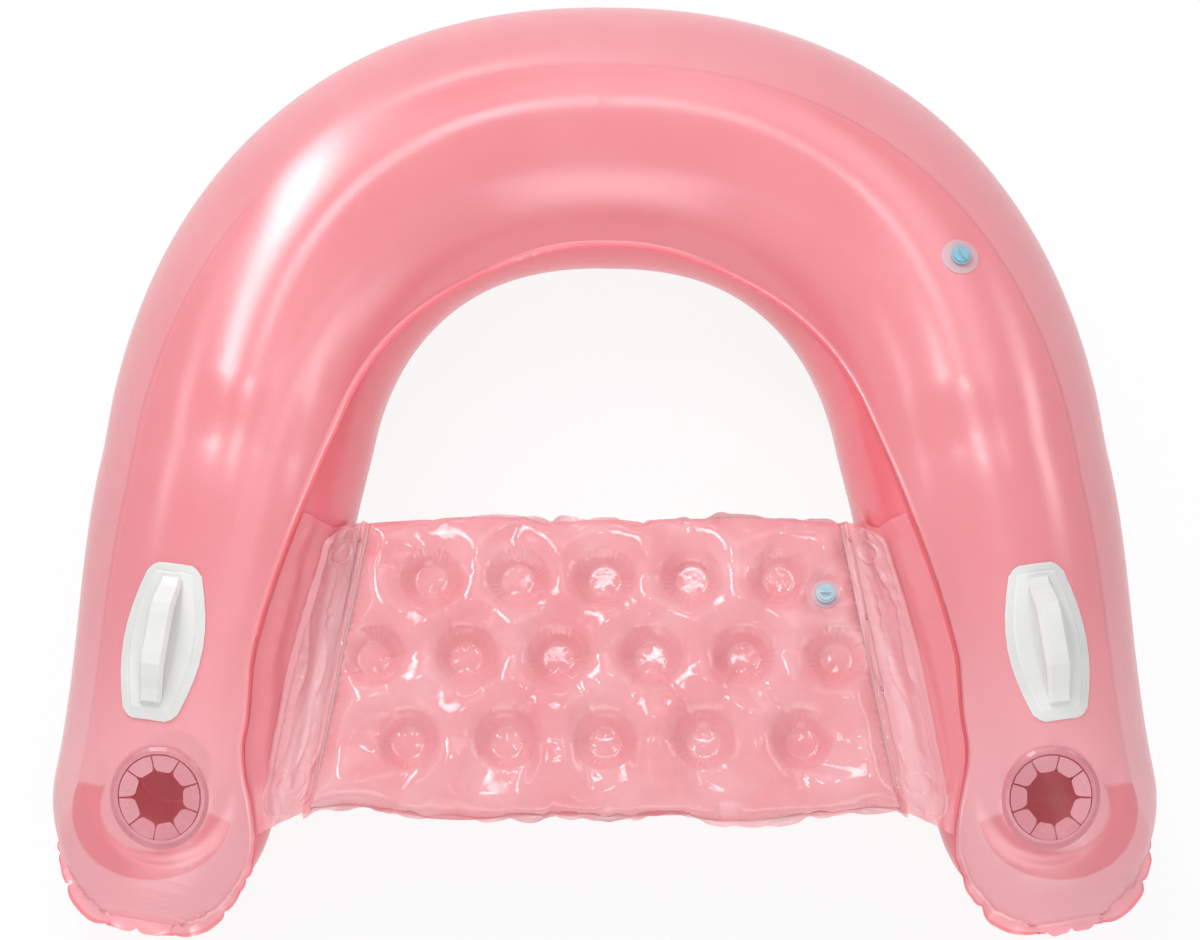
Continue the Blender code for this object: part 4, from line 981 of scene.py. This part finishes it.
def area(name, direction, distance, size, radiance):
    """A soft lamp seen in this direction (turned from +Y to +X, then up) from the chair."""
    turn, up = (math.radians(a) for a in direction)
    place = Vector((math.sin(turn) * math.cos(up), math.cos(turn) * math.cos(up), math.sin(up))) * distance
    lamp = bpy.data.lights.new(name, "AREA")
    lamp.shape = "RECTANGLE"
    lamp.size, lamp.size_y = size
    lamp.energy = radiance * math.pi * size[0] * size[1]
    obj = bpy.data.objects.new(name, lamp)
    bpy.context.scene.collection.objects.link(obj)
    obj.location = place
    obj.rotation_mode = "QUATERNION"
    obj.rotation_quaternion = (-place).to_track_quat("-Z", "Y")


def seen_directly(tree):
    """1 for rays from the camera and from glossy surfaces, 0 for those that light the chair."""
    path, seen = tree.nodes.new("ShaderNodeLightPath"), tree.nodes.new("ShaderNodeMath")
    seen.operation = "MAXIMUM"
    tree.links.new(path.outputs["Is Camera Ray"], seen.inputs[0])
    tree.links.new(path.outputs["Is Glossy Ray"], seen.inputs[1])
    return seen.outputs["Value"]


def make_floor():
    mesh = bpy.data.meshes.new("floor")
    corners = [(x * FLOOR_HALF, y * FLOOR_HALF, 0) for x, y in ((-1, -1), (1, -1), (1, 1), (-1, 1))]
    mesh.from_pydata(corners, [], [(0, 1, 2, 3)])
    obj = bpy.data.objects.new("floor", mesh)
    bpy.context.scene.collection.objects.link(obj)
    mat = bpy.data.materials.new("floor_white")
    mat.use_nodes = True
    nodes, links = mat.node_tree.nodes, mat.node_tree.links
    shader = shader_of(mat)
    shader.inputs["Base Color"].default_value = (0.80, 0.80, 0.80, 1)
    shader.inputs["Roughness"].default_value = 0.9
    shader.inputs["Specular IOR Level"].default_value = 0.0
    bright = nodes.new("ShaderNodeEmission")
    bright.inputs["Strength"].default_value = FLOOR_WHITE
    part = nodes.new("ShaderNodeMath")
    part.operation = "MULTIPLY"
    part.inputs[1].default_value = FLOOR_SEEN
    links.new(seen_directly(mat.node_tree), part.inputs[0])
    mix = nodes.new("ShaderNodeMixShader")
    links.new(part.outputs["Value"], mix.inputs["Fac"])
    links.new(shader.outputs["BSDF"], mix.inputs[1])
    links.new(bright.outputs["Emission"], mix.inputs[2])
    out = next(n for n in nodes if n.type == "OUTPUT_MATERIAL")
    links.new(mix.outputs["Shader"], out.inputs["Surface"])
    mesh.materials.append(mat)


def make_world():
    world = bpy.data.worlds.new("studio")
    bpy.context.scene.world = world
    world.use_nodes = True
    tree = world.node_tree
    background = tree.nodes["Background"]
    background.inputs["Color"].default_value = (1, 1, 1, 1)
    level = tree.nodes.new("ShaderNodeMapRange")
    level.inputs["To Min"].default_value = WORLD_LIGHT
    level.inputs["To Max"].default_value = WORLD_SEEN
    tree.links.new(seen_directly(tree), level.inputs["Value"])
    tree.links.new(level.outputs["Result"], background.inputs["Strength"])


def make_camera():
    data = bpy.data.cameras.new("camera")
    data.sensor_width = CAMERA_SENSOR
    data.lens = CAMERA_LENS
    cam = bpy.data.objects.new("camera", data)
    bpy.context.scene.collection.objects.link(cam)
    target = Vector(CAMERA_TARGET)
    back = Vector((0, -math.cos(CAMERA_ELEVATION), math.sin(CAMERA_ELEVATION)))
    cam.location = target + back * CAMERA_DISTANCE
    cam.rotation_mode = "QUATERNION"
    cam.rotation_quaternion = (target - cam.location).to_track_quat("-Z", "Y")
    bpy.context.scene.camera = cam


make_floor()
make_world()
for lamp in LAMPS:
    soft(*lamp)
make_camera()
bpy.context.scene.view_settings.view_transform = "Standard"
